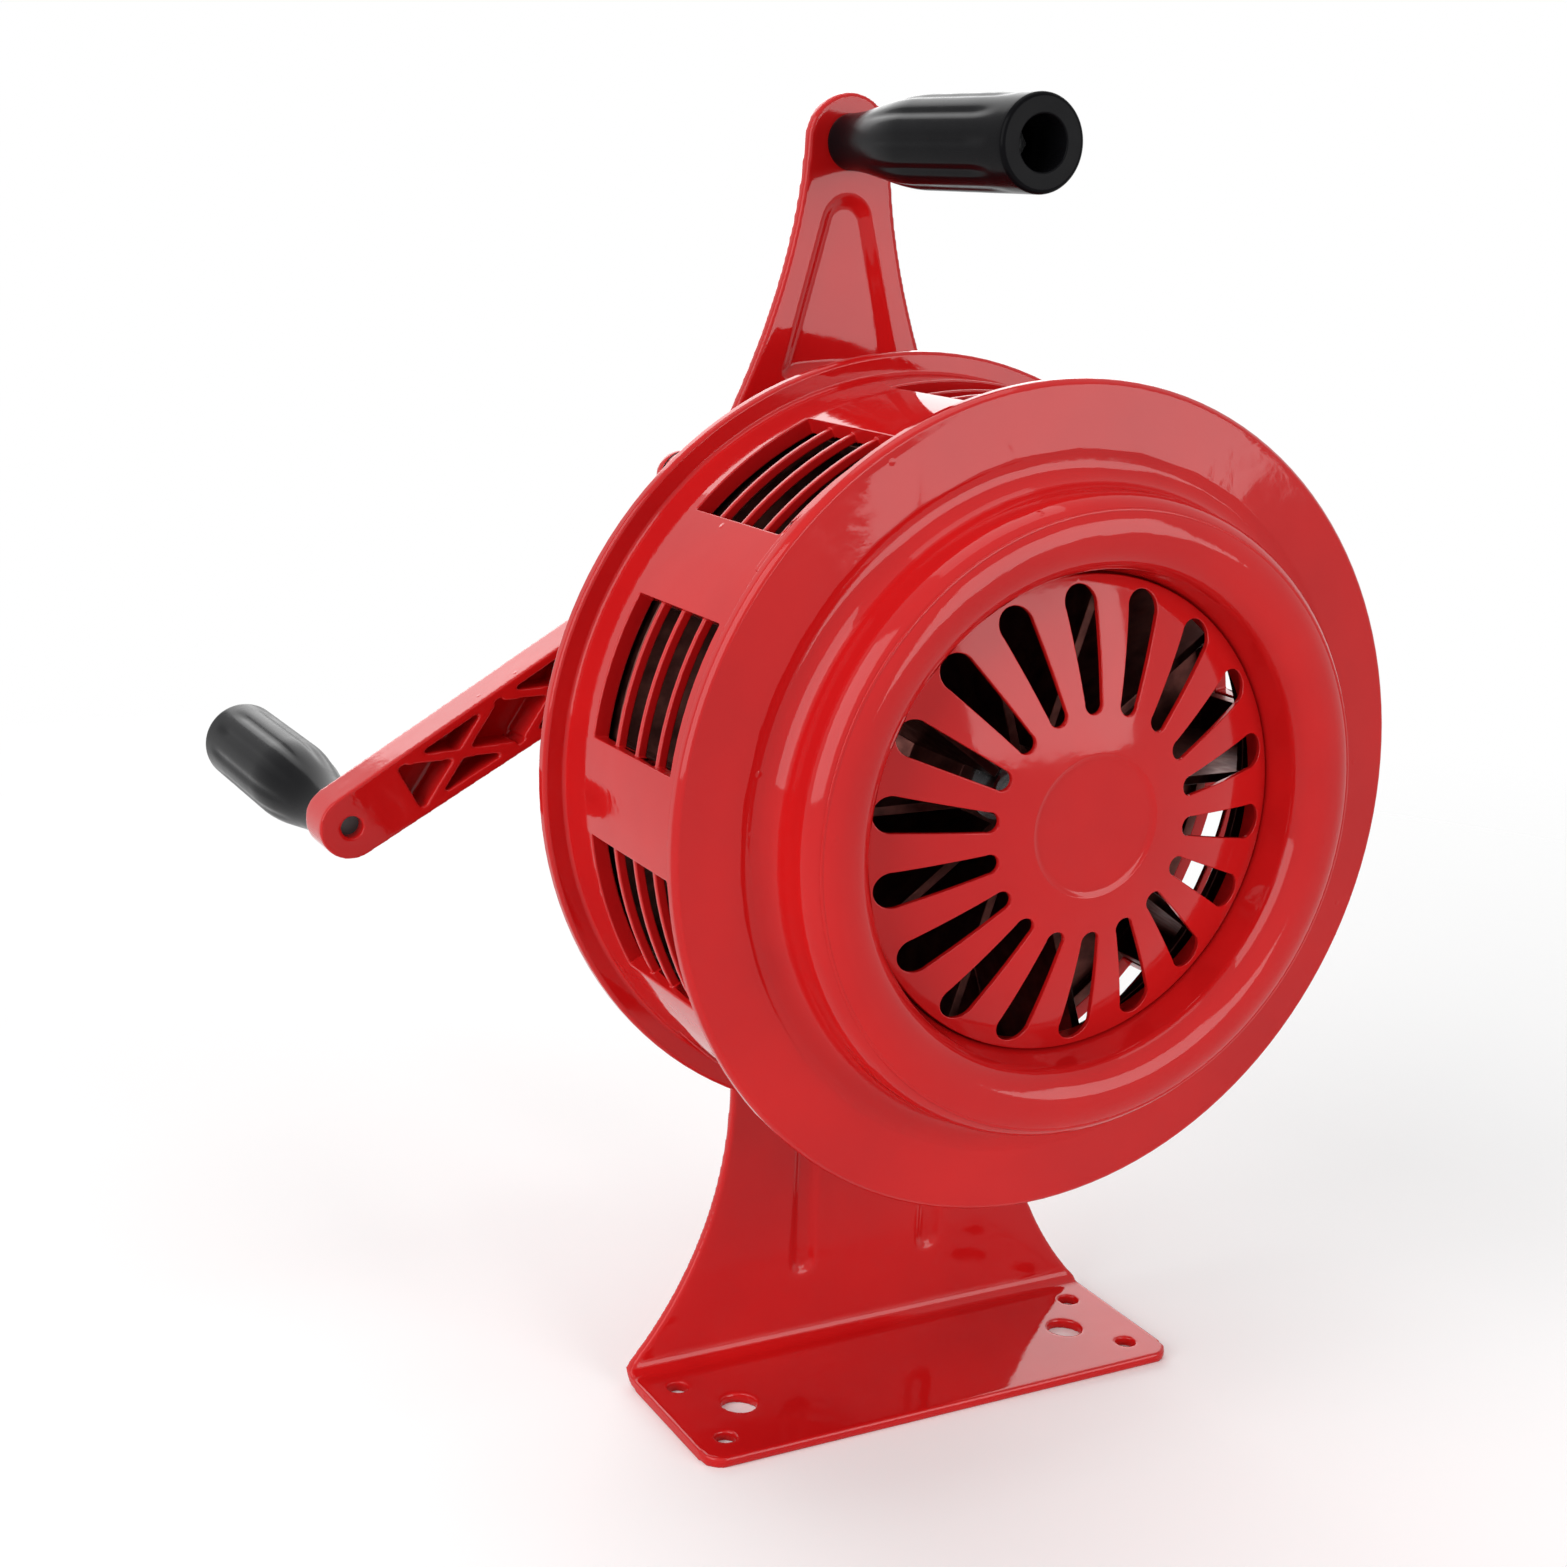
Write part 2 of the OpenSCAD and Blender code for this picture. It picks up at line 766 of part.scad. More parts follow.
module siren_housing() {
    dish = floor_r + floor_t;
    bush_seat_y = floor_front_y + bush_floor;
    color("red")
        difference() {
            union() {
                siren_axis() {
                    difference() {
                        turned(rounded([
                            [0, floor_front_y, 0],
                            [dish, floor_front_y, edge_r],
                            [ring_r + floor_t, flange_front_y - bite, edge_r],
                            [drum_in_r, flange_front_y - bite, 0],
                            [drum_in_r, drum_front_y, 0],
                            [drum_r, drum_front_y, 0],
                            [drum_r, flange_front_y, edge_r],
                            [flange_r, flange_front_y, edge_r],
                            [flange_r, flange_y, edge_r],
                            [ring_r, flange_y, edge_r],
                            [floor_r, floor_y, edge_r],
                            [0, floor_y, 0]
                        ]));
                        louvre_windows();
                    }
                    louvre_fins();
                    for (i = [0:pad_count - 1])
                        rotate([0, pad_first + i * 360 / pad_count, 0])
                            slab(pad_y - pad_len / 2, pad_y + pad_len / 2)
                                ring_sector(drum_r - over, drum_r + pad_h, pad_angle);
                    slab(floor_y - bite, case_y)
                        case_outline();
                    rod(front_bearing[1] + bearing_boss_wall, front_boss_y, floor_y);
                    for (side = [-1, 1])
                        rotate([0, side * mark_angle, 0])
                            translate([0, 0, stand_bolt_circle])
                                rod(mark_r, floor_y - bite, floor_y + mark_h);
                }
                at_stand_bolts()
                    rod(bolt_boss_r, floor_y - bite, flange_y);
            }
            siren_axis() {
                difference() {
                    slab(floor_y, case_y + over)
                        case_cavity();
                    siren_axis_bosses();
                }
                rod(front_bearing[1] + fit, front_boss_y - over, front_bearing_y + front_bearing[2] + fit);
                rod(bearing_shoulder_r, front_bearing_y, floor_y + over);
                rod(front_bearing[1] + clip_depth, front_bearing_y - clip_t - 2 * fit, front_bearing_y - fit);
                for (i = [0:pad_count - 1])
                    rotate([0, pad_first + i * 360 / pad_count, 0])
                        translate([0, horn_screw_y, 0])
                            horn_screw_shape(fit);
            }
            siren_axis(crank_rise)
                rod(crank_journal_r + bush_wall + fit, bush_seat_y, floor_y + floor_boss_h + over);
            siren_axis(idler_rise, idler_x)
                rod(idler_shaft_r + bush_wall + fit, bush_seat_y, floor_y + floor_boss_h + over);
            at_stand_bolts()
                rod(stand_bolt_r + fit, plate_y - stand_bolt_len - fit, flange_y + over);
            at_lugs()
                rod(cover_screw_r + fit, cover_rear_y - cover_hole_d, case_y + over);
        }
}

// Bosses that hold the crank and idler bushes in the floor
module siren_axis_bosses() {
    translate([0, 0, crank_rise])
        rod(crank_journal_r + bush_wall + boss_wall, floor_y - over, floor_y + floor_boss_h);
    translate([idler_x, 0, idler_rise])
        rod(idler_shaft_r + bush_wall + boss_wall, floor_y - over, floor_y + floor_boss_h);
}

// Countersunk screw that points inwards from the top of the drum
module horn_screw_shape(gap) {
    top = drum_r + pad_h;
    tip = drum_in_r - horn_wall - over;
    translate([0, 0, tip])
        cylinder(r = horn_screw_r + gap, h = top - tip);
    translate([0, 0, top - horn_head_h])
        cylinder(r1 = horn_screw_r + gap, r2 = horn_head_r + gap, h = horn_head_h);
    translate([0, 0, top])
        cylinder(r = horn_head_r + gap, h = gap);
}

module horn_screws() {
    color("firebrick")
        siren_axis()
            for (i = [0:pad_count - 1])
                rotate([0, pad_first + i * 360 / pad_count, 0])
                    translate([0, horn_screw_y, 0])
                        horn_screw_shape(0);
}

// Horn

collar_steps = 24;
neck_steps = 14;
throat_s = 6;
ledge_r = 70;
ledge_t = 2;
rivet_circle = 66.5;
rivet_count = 6;
rivet_r = 1.6;
rivet_head_r = 3;
rivet_head_t = 1;
skirt_gap = 0.3;
grille_flange_r = 69.4;

// Points of an ellipse about the collar's middle, from outside to inside
function collar(a, b) = [for (k = [0:collar_steps])
    let (turn = 180 * k / collar_steps)
    [collar_mid_r + a * cos(turn), drum_front_y - collar_s - b * sin(turn)]];

// Points of the concave fillet between the flange and the neck
function neck(r) = [for (k = [0:neck_steps])
    [
        face_r - r * sin(90 * k / neck_steps),
        drum_front_y - rim_t * 0.6 - neck_fillet_r + r * cos(90 * k / neck_steps)
    ]];

module front_horn() {
    lip = rim_t * 0.3;
    front = concat(
        [[rim_r, drum_front_y], [rim_r, drum_front_y - rim_t + lip]],
        [[rim_r - lip, drum_front_y - rim_t], [rim_r - 3 * lip, drum_front_y - rim_t * 0.9]],
        neck(neck_fillet_r),
        collar(collar_a, collar_b),
        [[throat_r, drum_front_y - throat_s - ledge_t], [throat_r, drum_front_y - throat_s]]
    );
    spigot_r = drum_in_r - fit;
    back = concat(
        [[ledge_r, drum_front_y - throat_s], [ledge_r, drum_front_y - throat_s - ledge_t]],
        [[throat_r + horn_wall, drum_front_y - throat_s - ledge_t]],
        [for (k = [collar_steps:-1:0]) collar(collar_a - horn_wall, collar_b - horn_wall)[k]],
        [for (k = [neck_steps:-1:0]) neck(neck_fillet_r + rim_t * 0.6 + bite)[k]],
        [[spigot_r - horn_wall, drum_front_y + bite], [spigot_r - horn_wall, drum_front_y + spigot_len]],
        [[spigot_r, drum_front_y + spigot_len], [spigot_r, drum_front_y]]
    );
    color("red")
        siren_axis()
            difference() {
                turned(concat(front, back));
                for (i = [0:pad_count - 1])
                    rotate([0, pad_first + i * 360 / pad_count, 0])
                        translate([0, horn_screw_y, 0])
                            horn_screw_shape(fit);
                at_rivets()
                    rod(rivet_r + fit, drum_front_y - throat_s - ledge_t - over, drum_front_y);
            }
}

module at_rivets() {
    for (i = [0:rivet_count - 1])
        rotate([0, i * 360 / rivet_count, 0])
            translate([0, 0, rivet_circle])
                children();
}

dome_steps = 12;

skirt_r = throat_r - skirt_gap;
seat_y = drum_front_y - throat_s + fit;
disc_edge_r = disc_r + 2 * disc_d;

// Points of the dome's outer or inner face, from the edge of the disc outwards
function dome(shift, r_out) = [for (k = [0:dome_steps])
    let (r = disc_edge_r + (r_out - disc_edge_r) * k / dome_steps)
    [r, drum_front_y - dome_s + shift + dome_r - sqrt(pow(dome_r, 2) - pow(r, 2))]];

// The dome before its slots are cut: cap, skirt, flange and sunken disc
module dome_blank() {
    disc_y = dome(0, skirt_r)[0].y + disc_d;
    turned(concat(
        [[0, disc_y], [disc_r, disc_y]],
        dome(0, skirt_r),
        [[skirt_r, seat_y], [grille_flange_r, seat_y], [grille_flange_r, seat_y + grille_t]],
        [[skirt_r - grille_t, seat_y + grille_t]],
        [for (k = [dome_steps:-1:0]) dome(grille_t, skirt_r - grille_t)[k]],
        [[disc_r, disc_y + grille_t], [0, disc_y + grille_t]]
    ));
}

// A tapered slot whose straight sides run just inside its round ends
module slot_outline() {
    taper = asin((slot_out_r - slot_in_r) / (slot_out - slot_in));
    translate([0, slot_in])
        circle(r = slot_in_r);
    translate([0, slot_out])
        circle(r = slot_out_r);
    polygon([
        [slot_in_r * cos(taper) - fit, slot_in - slot_in_r * sin(taper)],
        [slot_out_r * cos(taper) - fit, slot_out - slot_out_r * sin(taper)],
        [fit - slot_out_r * cos(taper), slot_out - slot_out_r * sin(taper)],
        [fit - slot_in_r * cos(taper), slot_in - slot_in_r * sin(taper)]
    ]);
}

module intake_grille() {
    color("firebrick")
        siren_axis()
            difference() {
                dome_blank();
                for (i = [0:slot_count - 1])
                    rotate([0, i * 360 / slot_count + slot_turn, 0])
                        slab(drum_front_y - dome_s - over, seat_y - ledge_t)
                            slot_outline();
                at_rivets()
                    rod(rivet_r + fit, seat_y - over, seat_y + grille_t + over);
            }
}

module grille_rivets() {
    front = drum_front_y - throat_s - ledge_t;
    rear = drum_front_y - throat_s + fit + grille_t;
    color("gray")
        siren_axis()
            at_rivets() {
                rod(rivet_r, front - bite, rear + bite);
                rod(rivet_head_r, rear, rear + rivet_head_t);
                rod(rivet_head_r, front - rivet_head_t, front);
            }
}

// Gear cover with the carrying arm

flare_share = 0.87;
flare_power = 1.75;
flare_steps = 14;
flare_end_share = 0.86;
panel_apex_drop = 16;
panel_foot_rise = 48.6;
panel_apex_z = grip_rise - panel_apex_drop;
panel_foot_z = crank_rise + panel_foot_rise;
panel_apex_w = 11.6;
panel_foot_w = 33;
cover_boss_h = 6;

// Half width of the carrying arm at a share of the way down to the upper screws
function arm_half(t) = arm_end_r + (lug_x - arm_end_r) * flare_share * pow(t, flare_power);

module cover_outline() {
    circle(r = case_low_r);
    side_outline(case_half_w);
    translate([0, grip_rise])
        circle(r = arm_end_r);
    span = grip_rise - lug_high;
    shoulder = (span - lug_r) / span;
    polygon(rounded(mirrored([
        for (k = [0:flare_steps])
            let (t = flare_end_share * k / flare_steps)
            [arm_half(t), grip_rise - span * t, 0],
        [arm_half(shoulder), lug_high + lug_r, lug_r * 0.6],
        [lug_x, lug_high + lug_r, 0],
        [lug_x - lug_r, crank_rise, 0]
    ])));
}

module panel_outline(inset) {
    bow = panel_foot_w / 12;
    top = panel_apex_z - inset;
    low = panel_foot_z + inset;
    half = panel_apex_w / 2 - inset;
    polygon(rounded(mirrored([
        [panel_foot_w / 6, low + bow, 0],
        [panel_foot_w / 2 - 1.5 * inset, low, 0],
        [half + panel_foot_w / 8, (top + 2 * low) / 3 + bow, panel_foot_w],
        [half, top, half * 0.96]
    ])));
}

module gear_cover() {
    boss_r = rear_bearing[1] + bearing_boss_wall;
    crank_boss_r = crank_shaft_r + bush_wall + boss_wall;
    bearing_seat_y = rear_bearing_y + rear_bearing[2] + fit;
    color("firebrick")
        difference() {
            union() {
                siren_axis() {
                    slab(cover_y, cover_rear_y)
                        cover_outline();
                    rod(boss_r, cover_y - cover_boss_h, cover_y + bite);
                    slab(cover_rear_y - bite, cover_rear_y + panel_d)
                        panel_outline(0);
                }
                siren_axis(crank_rise) {
                    rod(crank_boss_r, cover_y - crank_bush_in, cover_y + bite);
                    rod(crank_ring_r, cover_rear_y - bite, cover_rear_y + crank_ring_h);
                }
                siren_axis(idler_rise, idler_x)
                    rod(idler_shaft_r + bush_wall + boss_wall, cover_y - cover_boss_h, cover_y + bite);
            }
            siren_axis() {
                rod(rear_bearing[1] + fit, cover_y - cover_boss_h - over, bearing_seat_y);
                difference() {
                    rod(rotor_recess_r, cover_rear_y - cover_recess_d, cover_rear_y + over);
                    rod(rotor_stud_r, cover_rear_y - 2 * cover_recess_d, cover_rear_y + cover_recess_d);
                }
                slab(cover_y - over, cover_y + panel_d)
                    panel_outline(panel_d);
            }
            siren_axis(crank_rise) {
                rod(crank_shaft_r + bush_wall + fit, cover_y - crank_bush_in - over, cover_rear_y + over);
                rod(crank_recess_r, cover_rear_y - cover_recess_d, cover_rear_y + crank_ring_h + over);
            }
            siren_axis(idler_rise, idler_x)
                rod(idler_shaft_r + bush_wall + fit, cover_y - cover_boss_h - over, cover_y + cover_t / 2);
            siren_axis(grip_rise)
                rod(grip_screw_r + fit, cover_y - over, cover_rear_y + over);
            at_lugs()
                rod(cover_screw_r + fit, cover_y - over, cover_rear_y + over);
        }
}

module cover_gasket() {
    color("dimgray")
        siren_axis()
            slab(case_y, cover_y)
                difference() {
                    union() {
                        circle(r = case_low_r - bite);
                        side_outline(case_half_w - bite);
                        translate([0, crank_rise])
                            intersection() {
                                circle(r = case_top_r - bite);
                                translate([-lug_x + lug_r, 0])
                                    square([2 * (lug_x - lug_r), case_top_r - case_wall / 2]);
                            }
                    }
                    case_cavity();
                    both_sides()
                        for (z = [lug_low, lug_high])
                            translate([lug_x, z])
                                circle(r = cover_screw_r + 2 * fit);
                }
}

// A pan head with a cross recess, on its seat at station y
module cross_pan_screw(r, head_r, head_h, length, y) {
    cross_w = head_r * 0.26;
    cross_d = head_h * 0.55;
    crown = head_h * 0.35;
    difference() {
        union() {
            rod(r, y - length, y + bite);
            turned([
                [0, y],
                [head_r, y],
                for (k = [0:arc_steps])
                    [
                        head_r * cos(90 * k / arc_steps),
                        y + crown + (head_h - crown) * sin(90 * k / arc_steps)
                    ]
            ]);
        }
        for (a = [0, 90])
            rotate([0, a + 20, 0])
                translate([-cross_w / 2, y + head_h - cross_d, -head_r * 0.55])
                    cube([cross_w, head_h, head_r * 1.1]);
        cone(head_r * 0.12, head_r * 0.36, y + head_h - cross_d, y + head_h + bite);
    }
}

module cover_screws() {
    color("silver")
        at_lugs()
            cross_pan_screw(cover_screw_r, cover_head_r, cover_head_h, cover_screw_len, cover_rear_y);
}

// Grips

flute_r = 7;
grip_edge_r = 1.2;
carry_head_r = 8.85;
carry_head_h = 4.8;
carry_seat_y = cover_y - grip_len + grip_bore_d;
nut_h = 5;
nut_af = 10;
carry_screw_len = cover_rear_y - carry_seat_y + 1.4 * nut_h;
swell_steps = 10;

// A grip whose neck is at station 0 and whose end is at station grip_len
module grip_shape(bore_r) {
    rise = grip_r - grip_neck_r;
    difference() {
        turned([
            [0, 0],
            for (k = [0:swell_steps])
                [
                    grip_neck_r + rise * (1 - cos(180 * k / swell_steps)) / 2,
                    grip_swell * k / swell_steps
                ],
            for (k = [0:arc_steps])
                [
                    grip_r - grip_edge_r + grip_edge_r * cos(90 * k / arc_steps),
                    grip_len - grip_edge_r + grip_edge_r * sin(90 * k / arc_steps)
                ],
            [0, grip_len]
        ]);
        rod(bore_r, -over, grip_len);
        rod(grip_bore_r, grip_len - grip_bore_d, grip_len + over);
        for (i = [0:flute_count - 1])
            rotate([0, (i + 0.5) * 360 / flute_count, 0])
                translate([0, 0, grip_r + flute_r - flute_d]) {
                    rod(flute_r, grip_swell * 0.5, grip_len - 2.5 * flute_r);
                    translate([0, grip_len - 2.5 * flute_r, 0])
                        sphere(r = flute_r);
                }
    }
}

module carry_grip() {
    color("#202020")
        siren_axis(grip_rise)
            translate([0, cover_y, 0])
                rotate([0, 0, 180])
                    grip_shape(grip_screw_r + fit);
}

module carry_grip_screw() {
    color("silver")
        siren_axis(grip_rise)
            cross_pan_screw(grip_screw_r, carry_head_r, carry_head_h, carry_screw_len, cover_rear_y);
}

module carry_grip_nut() {
    color("silver")
        siren_axis(grip_rise)
            difference() {
                hexagon(nut_af, carry_seat_y - nut_h, carry_seat_y);
                rod(grip_screw_r + fit, carry_seat_y - nut_h - over, carry_seat_y + over);
            }
}

// Bushes and ball bearings in the housing and the cover

module bush(shaft_r, y0, y1) {
    difference() {
        rod(shaft_r + bush_wall, y0, y1);
        rod(shaft_r + run, y0 - over, y1 + over);
    }
}

module crank_bushes() {
    color("goldenrod")
        siren_axis(crank_rise) {
            bush(crank_journal_r, floor_front_y + bush_floor, floor_y + floor_boss_h);
            bush(crank_shaft_r, cover_y - crank_bush_in, cover_rear_y - cover_recess_d);
        }
}

module idler_bushes() {
    color("goldenrod")
        siren_axis(idler_rise, idler_x) {
            bush(idler_shaft_r, floor_front_y + bush_floor, floor_y + floor_boss_h);
            bush(idler_shaft_r, cover_y - cover_boss_h, cover_y + cover_t / 2);
        }
}

module ring_pair(bearing, y, outer) {
    bore = bearing[0];
    size = bearing[1];
    width = bearing[2];
    wall = (size - bore) * ring_share;
    ball_r = (size - bore) * ball_share;
    mid = (size + bore) / 2;
    difference() {
        if (outer)
            rod(size, y, y + width);
        else
            rod(bore + wall, y, y + width);
        if (outer)
            rod(size - wall, y - over, y + width + over);
        else
            rod(bore + run, y - over, y + width + over);
        translate([0, y + width / 2, 0])
            rotate([-90, 0, 0])
                rotate_extrude()
                    translate([mid, 0])
                        circle(r = ball_r + run);
    }
}

module balls(bearing, y) {
    ball_r = (bearing[1] - bearing[0]) * ball_share;
    for (i = [0:ball_count - 1])
        rotate([0, i * 360 / ball_count, 0])
            translate([0, y + bearing[2] / 2, (bearing[1] + bearing[0]) / 2])
                sphere(r = ball_r);
}

module bearing_outer_rings() {
    color("silver")
        siren_axis() {
            ring_pair(front_bearing, front_bearing_y, true);
            ring_pair(rear_bearing, rear_bearing_y, true);
        }
}

module bearing_inner_rings() {
    color("silver")
        siren_axis() {
            ring_pair(front_bearing, front_bearing_y, false);
            ring_pair(rear_bearing, rear_bearing_y, false);
        }
}

module bearing_balls() {
    color("gainsboro")
        siren_axis() {
            balls(front_bearing, front_bearing_y);
            balls(rear_bearing, rear_bearing_y);
        }
}

// Split ring in the groove in front of the large bearing
module bearing_circlip() {
    outer = front_bearing[1] + clip_depth - fit;
    color("dimgray")
        siren_axis()
            difference() {
                rod(outer, front_bearing_y - clip_t - fit, front_bearing_y - fit);
                rod(outer - clip_w - clip_depth, front_bearing_y - clip_t - over, front_bearing_y + over);
                slab(front_bearing_y - clip_t - over, front_bearing_y + over)
                    translate([-clip_w, 0])
                        square([2 * clip_w, 2 * outer]);
            }
}

// Crank

crank_shaft_y = floor_front_y + bush_floor + bite;
crank_step_gap = 1;
crank_tip_gap = 1;
crank_step_y = floor_y + floor_boss_h + crank_step_gap;
crank_end_y = hub_rear_y - hub_bore_d;
crank_tip_y = hub_rear_y - crank_tip_gap;
gear_hub_r = 11;
gear_hub_w = 3;
gear_holes = 5;
arm_seat_y = hub_rear_y - hub_bore_d;

module crank_space() {
    siren_axis(crank_rise)
        children();
}

// The crank's own frame at rest: the arm lies along local X
module arm_space() {
    crank_space()
        rotate([0, -crank_rest, 0])
            mirror([1, 0, 0])
                children();
}

module key_cut(y, length, r, gap) {
    translate([-key_w / 2 - gap, y - gap, r - key_sink - gap])
        cube([key_w + 2 * gap, length + 2 * gap, key_w + 2 * gap]);
}

module crank_shaft() {
    color("silver")
        crank_space()
            difference() {
                union() {
                    rod(crank_journal_r, crank_shaft_y, crank_step_y + bite);
                    rod(crank_shaft_r, crank_step_y, crank_end_y - fit);
                    rod(crank_end_r, crank_end_y - bite, crank_tip_y);
                }
                key_cut(first_pair_y, key_len, crank_shaft_r, fit);
                key_cut(hub_y + bite, arm_key_len, crank_shaft_r, fit);
                difference() {
                    rod(crank_shaft_r + over, circlip_y - fit, circlip_y + circlip_t + fit);
                    rod(crank_shaft_r - 2 * clip_depth, circlip_y - over, circlip_y + circlip_t + over);
                }
            }
}

module crank_keys() {
    color("gray")
        crank_space() {
            key_cut(first_pair_y, key_len, crank_shaft_r, 0);
            key_cut(hub_y + bite, arm_key_len, crank_shaft_r, 0);
        }
}

module crank_gear() {
    web_r = crank_pitch_r - root_share * gear_m;
    front = first_pair_y - gear_hub_w;
    rear = first_pair_y + crank_gear_w;
    hole_r = (web_r - gear_hub_r) * 0.32;
    color("darkgoldenrod")
        crank_space()
            difference() {
                union() {
                    slab(first_pair_y, rear)
                        rotate(-crank_gear_phase)
                            gear_outline(crank_teeth);
                    rod(gear_hub_r, front, rear);
                }
                rod(crank_shaft_r + fit, front - over, rear + over);
                key_cut(front - over, rear - front + 2 * over, crank_shaft_r, fit);
                for (i = [0:gear_holes - 1])
                    rotate([0, (i + 0.5) * 360 / gear_holes, 0])
                        translate([0, 0, (web_r + gear_hub_r) / 2])
                            rod(hole_r, first_pair_y - over, rear + over);
            }
}

module crank_thrust_washer() {
    color("dimgray")
        crank_space()
            difference() {
                rod(thrust_r, thrust_y, thrust_y + thrust_t);
                rod(crank_shaft_r + fit, thrust_y - over, thrust_y + thrust_t + over);
            }
}

module crank_circlip() {
    color("dimgray")
        crank_space()
            difference() {
                rod(circlip_r, circlip_y, circlip_y + circlip_t);
                rod(crank_shaft_r - 2 * clip_depth + fit, circlip_y - over, circlip_y + circlip_t + over);
                slab(circlip_y - over, circlip_y + circlip_t + over)
                    translate([-clip_w, 0])
                        square([2 * clip_w, 2 * circlip_r]);
            }
}

// Outline of the arm from the hub to the round end
module arm_outline(inset) {
    polygon([
        [0, -arm_w / 2 + inset],
        [crank_len, -arm_tip_r + inset],
        [crank_len, arm_tip_r - inset],
        [0, arm_w / 2 - inset]
    ]);
}

pocket_start_share = 1.15;
cross_count = 3;
cross_lean = 27;

// Pockets in the arm's front, with crossed ribs between its walls
module arm_pockets() {
    start = hub_r * pocket_start_share;
    end = crank_len - cross_first + (arm_tip_r - arm_wall + cross_w) / tan(cross_lean);
    difference() {
        intersection() {
            arm_outline(arm_wall);
            translate([start, -arm_w])
                square([end - start, 2 * arm_w]);
        }
        for (i = [0:cross_count - 1], lean = [-1, 1])
            translate([crank_len - cross_first - i * cross_pitch, 0])
                rotate(lean * cross_lean)
                    square([cross_pitch, cross_w], center = true);
    }
}

module crank_spacer() {
    y0 = circlip_y + circlip_t + fit;
    color("dimgray")
        crank_space()
            difference() {
                rod(spacer_r, y0, hub_y);
                rod(crank_shaft_r + fit, y0 - over, hub_y + over);
            }
}

module crank_arm() {
    color("firebrick")
        difference() {
            arm_space()
                difference() {
                    union() {
                        cone(hub_front_r, hub_r - bite, hub_y, arm_y);
                        rod(hub_r, arm_y - bite / 2, hub_rear_y);
                        slab(arm_y, arm_rear_y) {
                            arm_outline(0);
                            translate([crank_len, 0])
                                circle(r = arm_tip_r);
                        }
                    }
                    slab(arm_y - over, arm_rear_y - arm_web_t)
                        arm_pockets();
                    rod(crank_shaft_r + fit, hub_y - over, hub_rear_y + over);
                    rod(hub_bore_r, arm_seat_y, hub_rear_y + over);
                    translate([crank_len, 0, 0])
                        rod(grip_screw_r + fit, arm_y - over, arm_rear_y + over);
                }
            crank_space()
                key_cut(hub_y - over, arm_key_len + over + 2 * bite, crank_shaft_r, fit);
        }
}

module crank_washer() {
    color("silver")
        crank_space()
            difference() {
                rod(crank_washer_r, arm_seat_y, arm_seat_y + washer_t);
                rod(crank_end_r + 2 * fit, arm_seat_y - over, arm_seat_y + washer_t + over);
            }
}

module crank_nut() {
    color("silver")
        crank_space()
            difference() {
                hexagon(crank_nut_af, arm_seat_y + washer_t, arm_seat_y + washer_t + crank_nut_h);
                rod(crank_end_r + fit, arm_seat_y, hub_rear_y);
            }
}

module crank_cap() {
    plug_r = hub_bore_r - fit;
    lip = cap_h * 0.18;
    rim = cap_r * 0.87;
    sphere_r = (rim * rim + (cap_h - lip) * (cap_h - lip)) / (2 * (cap_h - lip));
    top = hub_rear_y + cap_h;
    color("firebrick")
        crank_space()
            difference() {
                turned([
                    [0, hub_rear_y - cap_plug],
                    [plug_r, hub_rear_y - cap_plug],
                    [plug_r, hub_rear_y],
                    [cap_r, hub_rear_y],
                    [cap_r, hub_rear_y + lip / 2],
                    [cap_r - lip / 2, hub_rear_y + lip],
                    for (k = [0:dome_steps])
                        let (r = rim * (1 - k / dome_steps))
                        [r, top - sphere_r + sqrt(sphere_r * sphere_r - r * r)]
                ]);
                rod(plug_r - cap_plug_wall, hub_rear_y - cap_plug - over, hub_rear_y + lip / 2);
            }
}

grip_washer_r = 7;
grip_washer_t = 1.2;
crank_grip_y = arm_rear_y + grip_washer_t + 2 * run;
crank_seat_y = crank_grip_y + grip_len - grip_bore_d;
socket_head_r = 5;
socket_head_h = 6;
socket_af = 5;
screw_end_gap = 4;

module grip_space() {
    arm_space()
        translate([crank_len, 0, 0])
            children();
}

module crank_grip_screw() {
    color("silver")
        grip_space()
            difference() {
                union() {
                    rod(grip_screw_r, arm_y + screw_end_gap, crank_seat_y + bite);
                    rod(socket_head_r, crank_seat_y + run, crank_seat_y + socket_head_h);
                }
                hexagon(socket_af, crank_seat_y + socket_head_h / 2, crank_seat_y + socket_head_h + over);
            }
}

module crank_grip_washer() {
    color("silver")
        grip_space()
            difference() {
                rod(grip_washer_r, arm_rear_y, arm_rear_y + grip_washer_t);
                rod(grip_screw_r + fit, arm_rear_y - over, arm_rear_y + grip_washer_t + over);
            }
}

module crank_grip() {
    color("#202020")
        grip_space()
            translate([0, crank_grip_y, 0])
                grip_shape(grip_screw_r + run);
}

// Idler

idler_y = floor_front_y + bush_floor + bite;
idler_end_y = cover_y + cover_t / 2 - bite;
second_pair_w = idler_gear_w;

// Angle from the crank axis to the idler axis and on to the rotor axis
first_line = atan2(idler_x, idler_rise - crank_rise);
second_line = atan2(-idler_x, -idler_rise);

// A tooth of one gear stands in a gap of the other where they meet
crank_gear_phase = first_line;
idler_pinion_phase = first_line + 180 + 180 / pinion_teeth;
idler_gear_phase = second_line;
rotor_pinion_phase = second_line + 180 + 180 / rotor_teeth;

module idler_space() {
    siren_axis(idler_rise, idler_x)
        children();
}

module idler_shaft() {
    color("silver")
        idler_space()
            rod(idler_shaft_r, idler_y, idler_end_y);
}

